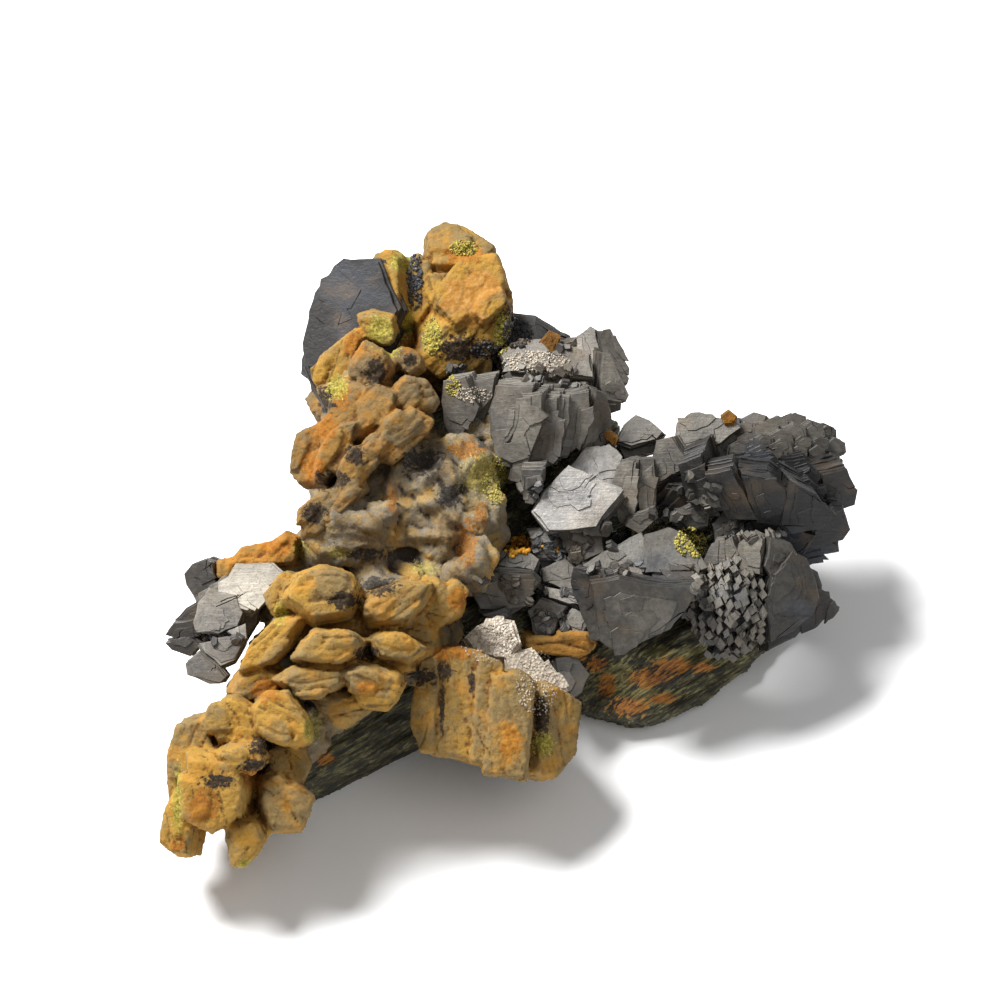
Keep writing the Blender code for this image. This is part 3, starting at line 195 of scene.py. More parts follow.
def parallel_growth(at, dome, size, count, turn, lean, yaw, seed, follow=0.0, wobble=4.0, **shape):
    """Many small crystals spread evenly over a dome, all lying the same way or following it a little."""
    rng = random.Random(seed * 613 + 1)
    middle = placing(at)
    golden = math.pi * (3.0 - math.sqrt(5.0))
    made = []
    for i in range(count):
        share = (i + 0.5) / count
        aside = math.sqrt(share) * math.cos(golden * i)
        upward = math.sqrt(share) * math.sin(golden * i)
        point = middle @ Vector((aside * dome[0], upward * dome[1], math.sqrt(1.0 - share) * dome[2]))
        scale = rng.uniform(0.8, 1.2)
        tilt = [rng.uniform(-wobble, wobble) for _ in range(3)]
        grown = leaf(
            (0.0, 0.0, 0.0), [side * scale for side in size], turn + tilt[0],
            lean + upward * follow + tilt[1], yaw + aside * follow + tilt[2], seed=seed + i, **shape,
        )
        made.append(moved(grown, point))
    return made


def brickwork(at, dome, brick, turn, lean, yaw, seed, **shape):
    """Little bricks in staggered rows over a dome, which they follow by some degrees."""
    rng = random.Random(seed)
    middle = placing(at)
    spin = Matrix.Rotation(math.radians(turn), 2)
    reach = max(dome[0], dome[1])
    spacing = (1.05, 0.9)
    follow = 24.0
    made = []
    for row in range(int(2 * reach / (brick[1] * spacing[1]))):
        for column in range(int(2 * reach / (brick[0] * spacing[0]))):
            flat = spin @ Vector((
                (column + 0.5 * (row % 2)) * brick[0] * spacing[0] - reach + rng.uniform(-0.3, 0.3),
                row * brick[1] * spacing[1] - reach + rng.uniform(-0.2, 0.2),
            ))
            away = (flat.x / dome[0]) ** 2 + (flat.y / dome[1]) ** 2
            if away > 1.0:
                continue
            rise = math.sqrt(1.0 - away) * dome[2] + rng.uniform(-0.35, 0.35)
            size = [side * rng.uniform(1.1, 1.8) for side in brick]
            grown = leaf(
                (0.0, 0.0, 0.0), size, turn + 45.0 + rng.uniform(-14, 14), lean + flat.y / dome[1] * follow,
                yaw + flat.x / dome[0] * follow, sides=4, seed=seed + len(made), **shape,
            )
            made.append(moved(grown, middle @ Vector((flat.x, flat.y, rise))))
    return made


def ilvaite_summit():
    return [
        plate(27.5, 9.0, (-8.5, 25.3), (-5.2, 29.6), (-0.1, 30.4), (1.2, 26.4), (-3.3, 22.3), (-5.6, 20.4),
              (-8.3, 23.2), lean=14, rim=0.9, shoulder=0.25, seed=21),
        plate(24.5, 9.0, (-10.6, 20.6), (-8.3, 23.8), (1.1, 26.4), (1.5, 23.2), (0.4, 20.6), (-5.6, 15.6),
              (-9.6, 19.2), lean=-20, yaw=8, rim=0.84, shoulder=0.2, seed=20),
        plate(25.5, 8.0, (-9.7, 31.5), (-7.5, 33.1), (-5.7, 33.8), (-4.0, 33.2), (-1.7, 31.5), (0.1, 30.4),
              (-2.0, 27.5), (-9.0, 27.5), lean=28, rim=0.84, shoulder=0.1, seed=22),
        plate(27.0, 9.0, (-17.3, 25.9), (-15.2, 30.6), (-13.1, 31.5), (-11.7, 30.2), (-11.0, 22.5),
              (-12.0, 21.5), (-17.6, 23.9), lean=12, yaw=-14, rim=0.82, shoulder=0.1, seed=23),
        plate(29.0, 8.0, (-18.0, 23.2), (-15.9, 23.8), (-13.1, 23.2), (-12.7, 20.8), (-14.5, 19.2),
              (-16.6, 20.0), lean=-4, rim=0.82, shoulder=0.2, seed=24),
        plate(27.0, 7.0, (-22.5, 17.8), (-21.0, 18.7), (-17.8, 21.5), (-16.4, 20.4), (-18.4, 13.6),
              (-20.6, 12.4), (-22.4, 14.6), lean=2, yaw=-8, rim=0.8, shoulder=0.1, seed=25),
        plate(25.0, 7.0, (-12.2, 30.2), (-10.2, 31.0), (-8.6, 29.6), (-8.4, 24.0), (-10.4, 20.6),
              (-11.6, 22.5), lean=14, rim=0.86, shoulder=0.2, seed=26),
        block((-7.6, 21.5, 18.5), (14.0, 14.0, 13.0), seed=27),
    ]


def ilvaite_ridge():
    worn = partial(plate, rim=0.84, shoulder=0.2)
    return [
        worn(33.5, 7.0, (-18.5, 16.6), (-16.6, 19.7), (-14.1, 18.3), (-12.9, 16.2), (-14.5, 13.4),
             (-16.6, 14.0), (-18.5, 15.0), lean=4, yaw=-6, seed=31),
        worn(33.0, 7.0, (-13.8, 12.9), (-11.7, 15.2), (-9.2, 14.8), (-7.5, 12.2), (-8.2, 10.8),
             (-11.9, 10.8), (-13.8, 10.6), yaw=8, seed=32),
        plate(31.8, 6.0, (-12.9, 18.0), (-11.3, 18.9), (-9.6, 17.8), (-9.2, 16.0), (-11.0, 15.0),
              (-12.7, 16.0), rim=0.8, shoulder=0.1, seed=38),
        plate(32.6, 7.0, (-14.2, 9.2), (-11.2, 11.5), (-8.4, 10.0), (-9.2, 8.4), (-13.6, 4.4), (-15.2, 4.8),
              lean=-4, yaw=12, rim=0.92, shoulder=0.35, seed=33),
        worn(32.0, 8.0, (-20.8, 11.3), (-19.0, 14.5), (-16.6, 14.1), (-13.6, 12.7), (-13.6, 10.4),
             (-16.0, 7.0), (-20.2, 5.0), lean=6, yaw=-10, seed=34),
        plate(31.0, 7.0, (-22.8, 2.0), (-21.8, 5.8), (-19.4, 9.4), (-17.0, 9.8), (-18.0, 6.8), (-21.2, 1.6),
              lean=4, rim=0.82, shoulder=0.2, seed=35),
        plate(31.4, 7.0, (-19.8, 1.4), (-19.0, 4.6), (-15.6, 8.2), (-13.8, 7.2), (-15.0, 4.2), (-18.0, 1.0),
              lean=-4, yaw=4, rim=0.82, shoulder=0.2, seed=36),
        plate(28.0, 8.0, (-24.3, -4.8), (-23.9, -1.4), (-20.8, 1.4), (-17.0, 3.4), (-15.8, 1.2),
              (-18.6, -1.4), (-22.4, -5.0), rim=0.8, shoulder=0.2, seed=39),
        plate(27.6, 7.0, (-24.2, 1.4), (-23.6, 4.6), (-22.8, 6.8), (-22.4, 9.4), (-20.6, 10.2),
              (-19.6, 7.0), (-22.2, 1.6), yaw=-18, rim=0.82, shoulder=0.1, seed=37),
        block((-16.0, 9.5, 28.0), (9.0, 12.0, 8.0), turn=20, seed=30),
    ]


def ilvaite_stack():
    worn = partial(plate, rim=0.78, shoulder=0.1)
    return [
        worn(28.6, 8.0, (-26.4, -12.2), (-24.8, -9.0), (-21.3, -7.7), (-17.8, -8.8), (-16.4, -11.0),
             (-17.9, -14.4), (-22.5, -15.2), lean=6, seed=41),
        worn(27.0, 8.0, (-16.8, -12.4), (-15.2, -11.0), (-12.4, -9.8), (-7.9, -10.0), (-9.0, -12.6),
             (-11.2, -15.4), (-16.2, -15.4), lean=4, yaw=6, seed=42),
        worn(26.4, 7.5, (-25.2, -19.2), (-23.7, -16.8), (-22.2, -15.4), (-18.3, -15.6), (-15.9, -16.9),
             (-16.9, -18.9), (-19.3, -20.1), lean=2, seed=43),
        plate(24.8, 7.0, (-15.9, -16.5), (-14.1, -15.6), (-12.4, -15.7), (-10.2, -16.9), (-8.6, -18.0),
              (-10.8, -19.6), (-15.2, -19.0), yaw=8, rim=0.76, shoulder=0.1, seed=44),
        plate(23.4, 7.0, (-27.6, -21.6), (-25.0, -20.0), (-22.1, -19.7), (-18.2, -20.3), (-18.2, -21.8),
              (-19.8, -23.0), (-25.0, -23.0), lean=-2, rim=0.76, shoulder=0.1, seed=45),
        worn(22.4, 7.5, (-18.7, -20.8), (-15.3, -19.8), (-12.1, -20.6), (-11.3, -21.9), (-12.2, -23.9),
             (-13.5, -25.3), (-17.2, -24.8), lean=-6, yaw=4, seed=46),
        worn(23.0, 8.0, (-31.4, -21.4), (-30.0, -17.8), (-26.4, -14.0), (-22.4, -13.6), (-24.0, -16.6),
             (-28.0, -20.6), yaw=-14, seed=47),
        worn(19.4, 7.0, (-33.2, -23.2), (-31.8, -21.0), (-28.0, -19.6), (-25.2, -20.6), (-26.4, -22.8),
             (-30.4, -24.0), lean=-8, seed=48),
        worn(25.6, 7.0, (-28.4, -11.4), (-26.0, -8.6), (-24.4, -9.2), (-24.0, -13.2), (-27.0, -14.4),
             yaw=-12, seed=49),
        plate(24.0, 7.0, (-10.0, -11.0), (-8.4, -9.0), (-5.4, -11.0), (-4.2, -12.4), (-4.8, -14.2),
              (-8.4, -16.0), (-10.6, -13.6), yaw=14, rim=0.76, shoulder=0.1, seed=50),
        plate(20.0, 6.0, (-23.0, -23.4), (-18.4, -22.6), (-14.6, -24.4), (-16.6, -26.2), (-20.6, -26.4),
              lean=-14, rim=0.76, shoulder=0.1, seed=51),
        block((-16.5, -15.8, 22.0), (17.0, 10.0, 8.0), turn=8, seed=52),
    ]


def ilvaite_foot():
    worn = partial(plate, rim=0.84, shoulder=0.2)
    return [
        worn(21.4, 8.5, (-29.8, -25.0), (-28.1, -23.0), (-25.2, -22.8), (-22.7, -26.4), (-22.5, -28.8),
             (-24.4, -29.8), (-29.2, -28.0), lean=4, seed=61),
        worn(19.6, 8.0, (-34.4, -26.6), (-33.0, -23.6), (-31.4, -23.3), (-29.6, -24.7), (-28.6, -28.8),
             (-33.6, -29.2), yaw=-6, seed=62),
        plate(19.0, 7.0, (-33.4, -29.7), (-32.2, -28.8), (-28.5, -28.5), (-27.6, -31.0), (-29.4, -32.7),
              (-32.2, -31.4), lean=-10, rim=0.8, shoulder=0.2, seed=68),
        worn(15.4, 9.0, (-37.4, -30.0), (-33.7, -29.8), (-30.6, -31.7), (-29.7, -34.0), (-30.4, -37.5),
             (-34.3, -39.8), (-36.4, -39.0), lean=-6, yaw=-6, seed=63),
        plate(10.6, 8.0, (-38.8, -34.7), (-36.5, -36.0), (-35.8, -39.4), (-36.7, -43.0), (-38.7, -42.8),
              (-40.6, -41.3), (-40.0, -37.2), yaw=-10, rim=0.82, shoulder=0.1, seed=66),
        plate(10.0, 8.5, (-32.7, -38.3), (-29.4, -37.4), (-27.7, -40.0), (-29.1, -42.4), (-30.7, -44.0),
              (-32.0, -43.7), (-33.0, -40.4), lean=-6, rim=0.8, shoulder=0.2, seed=65),
        plate(12.8, 8.5, (-29.2, -33.2), (-27.0, -32.4), (-24.4, -34.4), (-22.6, -35.7), (-24.0, -40.0),
              (-27.9, -39.9), (-29.2, -36.6), yaw=8, rim=0.82, shoulder=0.2, seed=64),
        plate(13.0, 8.0, (-39.6, -32.6), (-37.8, -26.4), (-34.6, -25.4), (-33.0, -31.0), (-36.0, -38.0),
              (-39.2, -37.4), yaw=-14, rim=0.86, shoulder=0.2, seed=67),
        worn(14.6, 7.0, (-27.6, -29.2), (-24.0, -29.0), (-22.8, -32.0), (-24.6, -36.0), (-28.4, -33.6),
             lean=-4, seed=69),
    ]


def ilvaite_front_block():
    worn = partial(plate, rim=0.94, shoulder=0.4)
    return [
        plate(15.4, 10.0, (-9.8, -24.0), (-8.6, -18.9), (-6.4, -18.2), (-7.0, -30.8), (-8.8, -30.6),
              (-10.1, -27.2), yaw=-10, rim=0.94, shoulder=0.38, seed=71),
        worn(15.9, 10.5, (-7.4, -18.0), (-5.0, -17.8), (-2.2, -18.2), (-3.6, -31.6), (-8.0, -30.9),
             seed=72),
        worn(15.0, 10.5, (-3.4, -18.4), (-0.4, -19.6), (-0.8, -32.4), (-4.4, -31.8), yaw=10, seed=76),
        worn(15.4, 10.0, (-0.8, -20.8), (2.4, -20.6), (4.2, -22.0), (3.2, -33.8), (-2.2, -33.0), lean=-2,
             seed=73),
        plate(12.0, 9.0, (2.4, -22.6), (4.4, -22.0), (7.9, -24.2), (7.2, -30.8), (4.6, -34.2), (1.8, -33.4),
              yaw=34, rim=0.88, shoulder=0.2, seed=74),
    ]


def pale_crystals():
    return [
        plate(17.0, 5.0, (-5.0, -17.5), (-3.1, -15.8), (0.0, -14.9), (1.9, -15.2), (2.8, -18.1),
              (1.4, -20.4), (-3.6, -20.0), lean=18, rim=0.84, seed=81),
        plate(14.2, 5.0, (0.0, -19.0), (3.9, -18.1), (5.7, -20.4), (8.3, -24.6), (6.5, -25.8), (4.5, -26.1),
              (0.6, -23.4), lean=8, yaw=12, rim=0.88, seed=82),
    ]


def dark_top_plate():
    outline = (
        (-24.7, 19.7), (-23.9, 23.9), (-23.2, 26.4), (-20.9, 29.4), (-19.6, 30.4), (-14.8, 30.4),
        (-12.0, 24.0), (-17.0, 13.0), (-21.6, 11.0), (-23.2, 13.2), (-24.3, 16.2),
    )
    behind = tuple((across * 0.985 + 0.5, up * 0.97 + 0.5) for across, up in outline)
    return [
        plate(26.4, 2.6, *outline, lean=4, yaw=-14, seed=91, shade=-1.1),
        plate(24.4, 3.0, *behind, lean=8, yaw=-10, rim=0.96, seed=92, shade=-1.1),
        plate(22.0, 3.4, *behind, lean=6, yaw=-12, rim=0.94, seed=93, shade=-1.1),
    ]


def great_book():
    return [
        plate(27.4, 5.0, (-0.9, 11.4), (0.2, 14.8), (4.8, 14.5), (4.2, 11.1), (3.2, 8.2), (1.6, 4.0),
              (0.4, 4.4), (-0.8, 8.2), lean=-8, yaw=-12, seed=101),
        plate(26.7, 5.0, (3.6, 13.6), (6.1, 13.8), (5.8, 9.5), (3.9, 5.2), (2.5, 2.2), (1.3, 2.5),
              (2.1, 6.2), lean=-9, yaw=-16, seed=102),
        plate(26.2, 5.0, (5.4, 13.6), (7.7, 13.5), (7.5, 10.1), (6.2, 4.4), (5.3, 4.0), (3.7, 4.4),
              (4.6, 8.5), lean=-9, yaw=-10, seed=103),
        plate(24.6, 4.5, (2.9, 4.6), (5.8, 4.6), (5.5, 2.4), (4.4, -0.1), (3.4, 0.1), (2.7, 2.1), lean=-14,
              yaw=-6, rim=0.93, seed=104),
        plate(25.9, 5.0, (7.0, 13.4), (8.9, 13.2), (8.9, 10.1), (7.9, 7.0), (6.9, 4.5), (5.9, 4.4),
              (6.4, 8.5), lean=-8, yaw=-8, seed=105),
        plate(25.4, 5.0, (8.4, 13.6), (10.8, 14.1), (11.0, 11.7), (10.1, 8.9), (8.2, 5.3), (7.2, 5.4),
              (8.0, 9.0), lean=-8, yaw=2, seed=106),
        plate(23.8, 5.0, (10.4, 14.4), (11.6, 14.0), (12.7, 11.1), (12.9, 9.6), (12.3, 7.3), (8.9, 5.8),
              (9.4, 9.4), lean=-10, yaw=34, seed=107),
        plate(25.6, 6.0, (0.0, 14.4), (0.8, 16.6), (2.3, 17.9), (5.4, 18.3), (6.3, 17.2), (6.3, 14.6),
              lean=26, rim=0.92, seed=112),
        plate(25.2, 6.0, (5.7, 17.2), (8.6, 18.3), (11.3, 17.2), (11.5, 14.0), (6.0, 14.4), lean=22, yaw=6,
              rim=0.92, seed=113),
        plate(23.4, 5.0, (-0.4, 17.6), (2.4, 19.3), (5.0, 19.2), (8.4, 18.9), (9.0, 16.6), (0.4, 16.0),
              lean=22, rim=0.88, seed=115),
        plate(21.4, 6.0, (1.0, 15.0), (11.0, 15.0), (10.4, 8.0), (5.4, 4.6), (2.2, 6.4), lean=-6, rim=0.96,
              seed=114),
    ]


def left_book():
    return [
        plate(26.4, 4.6, (-6.8, 12.5), (-6.4, 15.2), (-3.5, 15.7), (-2.4, 12.4), (-3.6, 9.4), (-4.2, 7.4),
              (-5.6, 7.5), (-6.6, 9.5), lean=-8, yaw=-14, seed=121),
        plate(25.4, 4.6, (-4.4, 15.2), (-0.1, 15.9), (-0.4, 13.2), (-2.6, 10.2), (-3.8, 7.4), (-4.8, 9.4),
              lean=-6, yaw=-6, rim=0.94, seed=122),
        plate(23.8, 4.4, (-2.8, 13.4), (-0.3, 13.4), (-0.6, 11.0), (-2.0, 8.5), (-3.6, 7.2), (-3.4, 10.0),
              lean=-8, yaw=4, rim=0.94, seed=123),
    ]


def wedge_crystals():
    return [
        plate(24.4, 4.4, (8.0, 18.0), (8.9, 19.6), (11.8, 21.5), (12.5, 21.1), (13.4, 17.4), (12.6, 15.4),
              (9.6, 16.4), lean=12, yaw=-12, rim=0.94, seed=131),
        plate(23.8, 4.4, (11.7, 21.2), (12.7, 21.2), (15.7, 15.1), (15.4, 14.2), (14.4, 14.4), (12.2, 18.4),
              lean=4, yaw=22, rim=0.94, seed=132),
        plate(24.2, 4.4, (11.9, 18.9), (12.7, 18.7), (15.6, 13.2), (15.1, 12.2), (12.2, 12.7), (11.6, 14.2),
              lean=-8, yaw=18, rim=0.94, seed=133),
        plate(22.6, 4.0, (11.8, 14.0), (15.0, 13.4), (15.0, 12.2), (13.2, 11.6), (12.0, 12.2), lean=-34,
              yaw=8, rim=0.9, seed=134),
    ]


def bright_plate():
    outline = (
        (3.9, -1.6), (5.2, 0.9), (8.0, 3.8), (11.2, 3.2), (15.2, 1.3), (14.3, 0.0), (11.9, -3.4),
        (8.9, -3.9), (5.9, -4.0),
    )
    under = tuple((across * 0.97 + 0.8, up * 0.93 - 0.7) for across, up in outline)
    # The plate under the bright one is painted darker: painted shade beneath it.
    return [
        plate(23.6, 1.8, *outline, lean=12, yaw=-3, rim=0.97, seed=141),
        plate(21.9, 2.4, *under, lean=10, yaw=-2, rim=0.96, seed=142, shade=-0.8),
        plate(21.6, 4.0, (8.2, 3.4), (10.6, 6.0), (12.4, 6.2), (14.5, 4.9), (16.2, 3.4), (15.0, 0.6),
              (10.0, 0.0), lean=20, yaw=6, seed=144, shade=-0.1),
    ]


def column_book():
    return [
        plate(20.8, 4.4, (14.3, 2.4), (15.0, 4.8), (16.6, 5.5), (17.6, 5.2), (17.2, 0.0), (16.6, -3.4),
              (15.3, -2.8), (14.4, -0.4), lean=-4, yaw=-16, rim=0.94, seed=151),
        plate(20.4, 4.4, (17.0, 5.2), (18.8, 5.4), (19.3, 2.1), (19.1, -1.4), (17.2, -2.6), (16.6, 1.6),
              lean=-2, yaw=10, rim=0.94, seed=152),
        plate(20.6, 3.4, (15.6, -2.2), (19.0, -0.9), (19.5, -1.9), (17.0, -4.1), (15.2, -3.0), lean=-10,
              rim=0.93, seed=153),
    ]


def saddle_fan():
    # Both leaves are painted darker: painted shade that dims faces turned to the lamp.
    return [
        plate(21.6, 2.4, (14.5, 6.9), (15.3, 9.0), (16.9, 10.4), (18.7, 9.7), (20.5, 8.2), (19.8, 7.2),
              (16.4, 6.2), lean=14, yaw=-4, seed=161, shade=-0.4),
        plate(19.6, 2.6, (14.6, 6.6), (16.0, 8.6), (19.4, 8.6), (20.5, 7.9), (19.7, 6.0), (15.6, 4.8),
              lean=6, seed=162, shade=-0.4),
    ]


def shoulder_leaves():
    # The upper leaves are painted lighter and the edges of the book below darker: painted light and painted
    # shade.
    upper = [
        plate(22.4, 3.0, (21.8, 7.6), (22.0, 9.5), (23.4, 10.4), (26.0, 10.3), (29.4, 9.8), (30.4, 8.8),
              (27.8, 6.8), (24.8, 5.6), (22.8, 5.4), lean=12, yaw=-6, seed=171, shade=0.4),
        plate(22.0, 3.0, (19.0, 4.4), (19.9, 7.5), (21.9, 8.0), (23.6, 5.4), (23.5, 3.6), (19.5, 1.4),
              (19.0, 2.4), yaw=-14, seed=173, shade=0.1),
    ]
    edges = book(
        (21.7, 1.6, 19.8), (6.6, 4.6, 1.5), 4, (0.4, -0.8, -0.4), turn=24, lean=-34, yaw=-4,
        sides=5, rim=0.94, jag=0.08, seed=175, shade=-0.8,
    )
    below = [
        plate(19.0, 3.4, (21.2, -1.6), (24.6, 0.2), (26.6, -0.2), (25.8, -3.1), (23.6, -3.7), lean=-12,
              rim=0.93, seed=177),
        leaf((24.4, 5.0, 19.0), (9.0, 7.4, 5.5), turn=30, sides=6, seed=179),
    ]
    return upper + edges + below


def great_rosette():
    # The upper scales and first faces are painted lighter and the lower scales and faces darker: painted
    # light on top, painted shade underneath.
    faces = [
        plate(22.2, 7.4, (23.0, 5.8), (26.0, 7.0), (26.8, 3.0), (27.6, -0.6), (25.4, -0.9), (23.4, 3.0),
              lean=-22, yaw=-14, seed=181, shade=0.2),
        plate(23.4, 4.5, (25.6, 4.2), (28.9, 4.8), (30.6, 2.0), (32.3, -1.8), (28.4, -1.8), (27.4, -0.2),
              lean=-24, yaw=-8, seed=182, shade=-0.1),
        plate(23.2, 5.0, (29.5, 4.2), (33.1, 3.8), (35.7, 2.1), (36.2, -0.5), (34.6, -2.5), (31.6, -2.0),
              (30.4, 1.0), lean=-26, seed=183, shade=-0.4),
        plate(21.6, 5.0, (34.4, 3.6), (38.2, 1.8), (40.8, -1.2), (39.2, -2.7), (35.6, -3.3), (34.1, -2.0),
              lean=-28, yaw=10, seed=184, shade=-0.6),
        plate(19.4, 5.0, (38.5, 4.2), (41.7, 5.0), (43.6, 2.2), (43.5, 0.2), (40.8, -0.9), (38.9, 0.4),
              lean=-20, yaw=22, seed=185, shade=-0.3),
        plate(17.6, 4.5, (37.3, -3.1), (40.1, 0.3), (41.6, 0.1), (43.0, -2.7), (42.2, -4.1), (39.0, -5.2),
              (36.5, -5.2), lean=-26, yaw=14, seed=186, shade=-0.4),
        plate(14.6, 3.4, (33.0, -3.5), (36.9, -4.4), (42.1, -3.3), (42.3, -5.8), (36.6, -6.9), (34.5, -5.6),
              lean=-24, yaw=4, seed=187, shade=-0.2),
        plate(18.4, 5.0, (30.7, -1.1), (36.1, -2.0), (39.0, -3.0), (37.7, -5.6), (32.9, -4.7), (31.5, -3.3),
              lean=-30, seed=188, shade=-0.9),
    ]
    scales = parallel_growth(
        (33.4, 5.4, 15.8), (9.2, 4.8, 7.6), (3.6, 2.7, 2.4), 52, turn=4, lean=-10, yaw=2, follow=16.0,
        wobble=5.0, sides=6, rim=0.84, jag=0.12, seed=201, shade=0.6,
    )
    lower_scales = parallel_growth(
        (33.6, 0.9, 16.4), (8.0, 4.4, 8.6), (4.6, 3.0, 2.2), 34, turn=-14, lean=-20, yaw=2, follow=14.0,
        sides=5, rim=0.84, jag=0.12, seed=401, shade=-0.8,
    )
    core = leaf((33.8, 1.0, 17.6), (16.5, 10.0, 7.0), sides=8, rim=0.8, seed=189)
    return faces + scales + lower_scales + [core]


def brick_rosette():
    # The bricks' tops are painted lighter, the core between them and the right-hand leaves darker: painted
    # light and painted shade.
    bricks = brickwork(
        (28.2, -13.2, 13.6), (4.9, 5.8, 5.4), (1.15, 0.85, 2.2), turn=38, lean=0, yaw=-8,
        rim=0.9, jag=0.12, seed=291, shade=0.5,
    )
    core = parallel_growth(
        (28.2, -13.2, 13.2), (4.2, 5.2, 4.6), (3.4, 2.6, 3.4), 18, turn=35, lean=0, yaw=-8,
        sides=4, rim=0.9, jag=0.05, seed=320, shade=-0.8,
    )
    leaves = [
        plate(15.4, 4.0, (32.5, -9.4), (35.6, -6.2), (36.9, -6.8), (38.3, -10.0), (38.8, -12.0),
              (37.6, -14.5), (35.6, -16.2), (32.6, -17.7), (31.6, -13.0), lean=-4, yaw=22, seed=195,
              shade=-0.6),
        plate(12.6, 3.6, (37.0, -7.6), (39.0, -8.8), (39.6, -10.6), (39.3, -12.6), (38.2, -14.9),
              (36.3, -17.1), (32.6, -18.8), (32.4, -12.0), lean=-4, yaw=14, seed=196, shade=-0.6),
        plate(18.6, 4.4, (32.4, -4.3), (35.0, -5.0), (35.8, -6.3), (35.0, -7.6), (32.6, -9.8), (31.6, -8.0),
              yaw=26, seed=194),
        plate(19.2, 4.4, (29.8, -5.4), (31.4, -3.7), (32.7, -4.3), (32.5, -9.4), (30.2, -9.2), (29.4, -7.4),
              lean=2, yaw=-10, rim=0.94, seed=193, shade=0.5),
        plate(18.4, 4.0, (25.4, -7.9), (27.0, -4.6), (28.2, -4.4), (28.6, -8.6), (26.4, -9.2), lean=4,
              yaw=-18, rim=0.92, seed=197, shade=0.3),
        plate(18.8, 4.0, (28.0, -5.0), (29.3, -4.2), (30.2, -6.6), (28.6, -9.4), (27.6, -8.4), yaw=-24,
              rim=0.92, seed=198, shade=0.4),
        plate(12.0, 4.0, (26.0, -17.0), (28.6, -16.0), (31.0, -16.8), (29.6, -18.3), (27.2, -18.3),
              lean=-20, rim=0.9, seed=199),
        plate(18.0, 4.0, (26.2, -2.7), (27.6, -0.9), (29.4, -1.4), (30.5, -3.6), (29.2, -4.4), (26.6, -5.4),
              lean=-4, rim=0.93, seed=178, shade=-0.4),
    ]
    return bricks + core + leaves


def front_fan():
    # The top leaves are painted lighter and the dark left leaf darker: painted light and painted shade by how
    # each leaf faces the lamp.
    return [
        plate(19.4, 4.4, (10.6, -9.4), (14.1, -8.8), (20.0, -10.0), (24.4, -9.9), (22.8, -12.6),
              (20.7, -15.3), (16.2, -17.3), (13.3, -17.8), (11.8, -16.8), lean=-12, yaw=6, rim=0.96,
              seed=221),
        plate(18.8, 4.4, (9.4, -9.4), (9.8, -8.0), (13.2, -8.6), (14.0, -12.0), (13.2, -17.0),
              (11.6, -16.9), (10.6, -13.8), (9.7, -11.1), lean=-10, yaw=-24, seed=222, shade=-0.6),
        plate(19.8, 4.0, (9.7, -8.5), (12.4, -6.8), (17.4, -4.4), (18.6, -6.0), (19.2, -8.8), (15.0, -9.6),
              (10.4, -9.6), lean=16, rim=0.96, seed=223, shade=0.5),
        plate(20.4, 4.0, (16.6, -8.8), (17.6, -4.6), (20.7, -3.7), (22.6, -4.6), (23.9, -6.4), (25.4, -8.8),
              (23.8, -9.4), lean=12, yaw=4, rim=0.96, seed=224, shade=0.5),
        plate(19.4, 3.0, (18.4, -8.8), (25.0, -8.9), (24.6, -10.4), (19.0, -10.6), lean=-2, yaw=4, rim=0.94,
              seed=225, shade=0.3),
        plate(16.4, 5.0, (11.0, -8.0), (22.0, -6.0), (23.0, -11.0), (17.0, -15.0), (12.0, -13.0), lean=-2,
              rim=0.96, seed=226),
    ]


def hollow_leaves():
    # The leaned-back upper leaf is painted lighter: painted light.
    return [
        plate(18.6, 3.4, (-4.0, -10.8), (-3.4, -9.0), (0.0, -8.5), (4.1, -8.9), (5.0, -9.9), (2.8, -12.7),
              (0.0, -13.5), (-2.6, -13.2), lean=-12, yaw=4, seed=211),
        plate(18.8, 3.0, (-0.4, -8.6), (0.0, -6.6), (3.1, -6.4), (4.9, -7.8), (4.2, -9.2), lean=22,
              rim=0.94, seed=212, shade=0.5),
        plate(15.6, 5.0, (-3.4, -9.4), (3.8, -8.6), (3.6, -12.6), (0.8, -14.6), (-2.8, -13.6), seed=213),
        plate(17.6, 2.4, (-2.4, -13.9), (0.8, -12.8), (1.4, -13.4), (-0.2, -14.6), lean=-8, yaw=4, rim=0.92,
              seed=214),
    ]


def stair_leaves():
    # The leaf leaned up is painted lighter and the leaves leaned down and the inner block darker: painted
    # light and painted shade.
    return [
        plate(16.4, 2.6, (5.0, -8.8), (7.9, -7.3), (9.4, -8.2), (9.7, -11.2), (8.2, -11.5), (5.1, -10.2),
              lean=12, seed=231),
        plate(15.6, 2.4, (5.3, -10.8), (8.7, -11.2), (10.3, -11.6), (10.5, -13.1), (8.3, -13.0),
              (5.9, -12.2), lean=16, rim=0.94, seed=232),
        plate(14.0, 3.4, (3.4, -13.4), (5.0, -11.8), (8.4, -12.9), (7.3, -14.9), (6.9, -16.3), (5.2, -17.0),
              (4.1, -16.1), lean=-6, rim=0.94, seed=233, shade=-0.4),
        plate(13.6, 3.0, (7.1, -14.9), (8.9, -13.2), (10.9, -14.1), (10.9, -15.4), (10.0, -16.8),
              (7.6, -16.4), lean=6, rim=0.94, seed=234, shade=0.2),
        plate(11.8, 4.6, (4.6, -9.6), (9.6, -9.2), (10.4, -15.0), (5.0, -16.2), rim=0.96, seed=235),
        plate(17.4, 4.0, (3.4, -3.8), (7.2, -3.2), (9.4, -5.2), (7.6, -7.6), (4.6, -7.4), lean=-6, seed=236,
              shade=-0.3),
        plate(18.0, 4.0, (8.0, -4.4), (12.4, -4.2), (12.8, -6.6), (9.6, -8.2), (7.8, -6.4), lean=10,
              seed=237),
        plate(13.8, 6.0, (4.4, -4.4), (11.4, -4.6), (10.8, -11.4), (5.4, -11.8), seed=238, shade=-0.6),
    ]


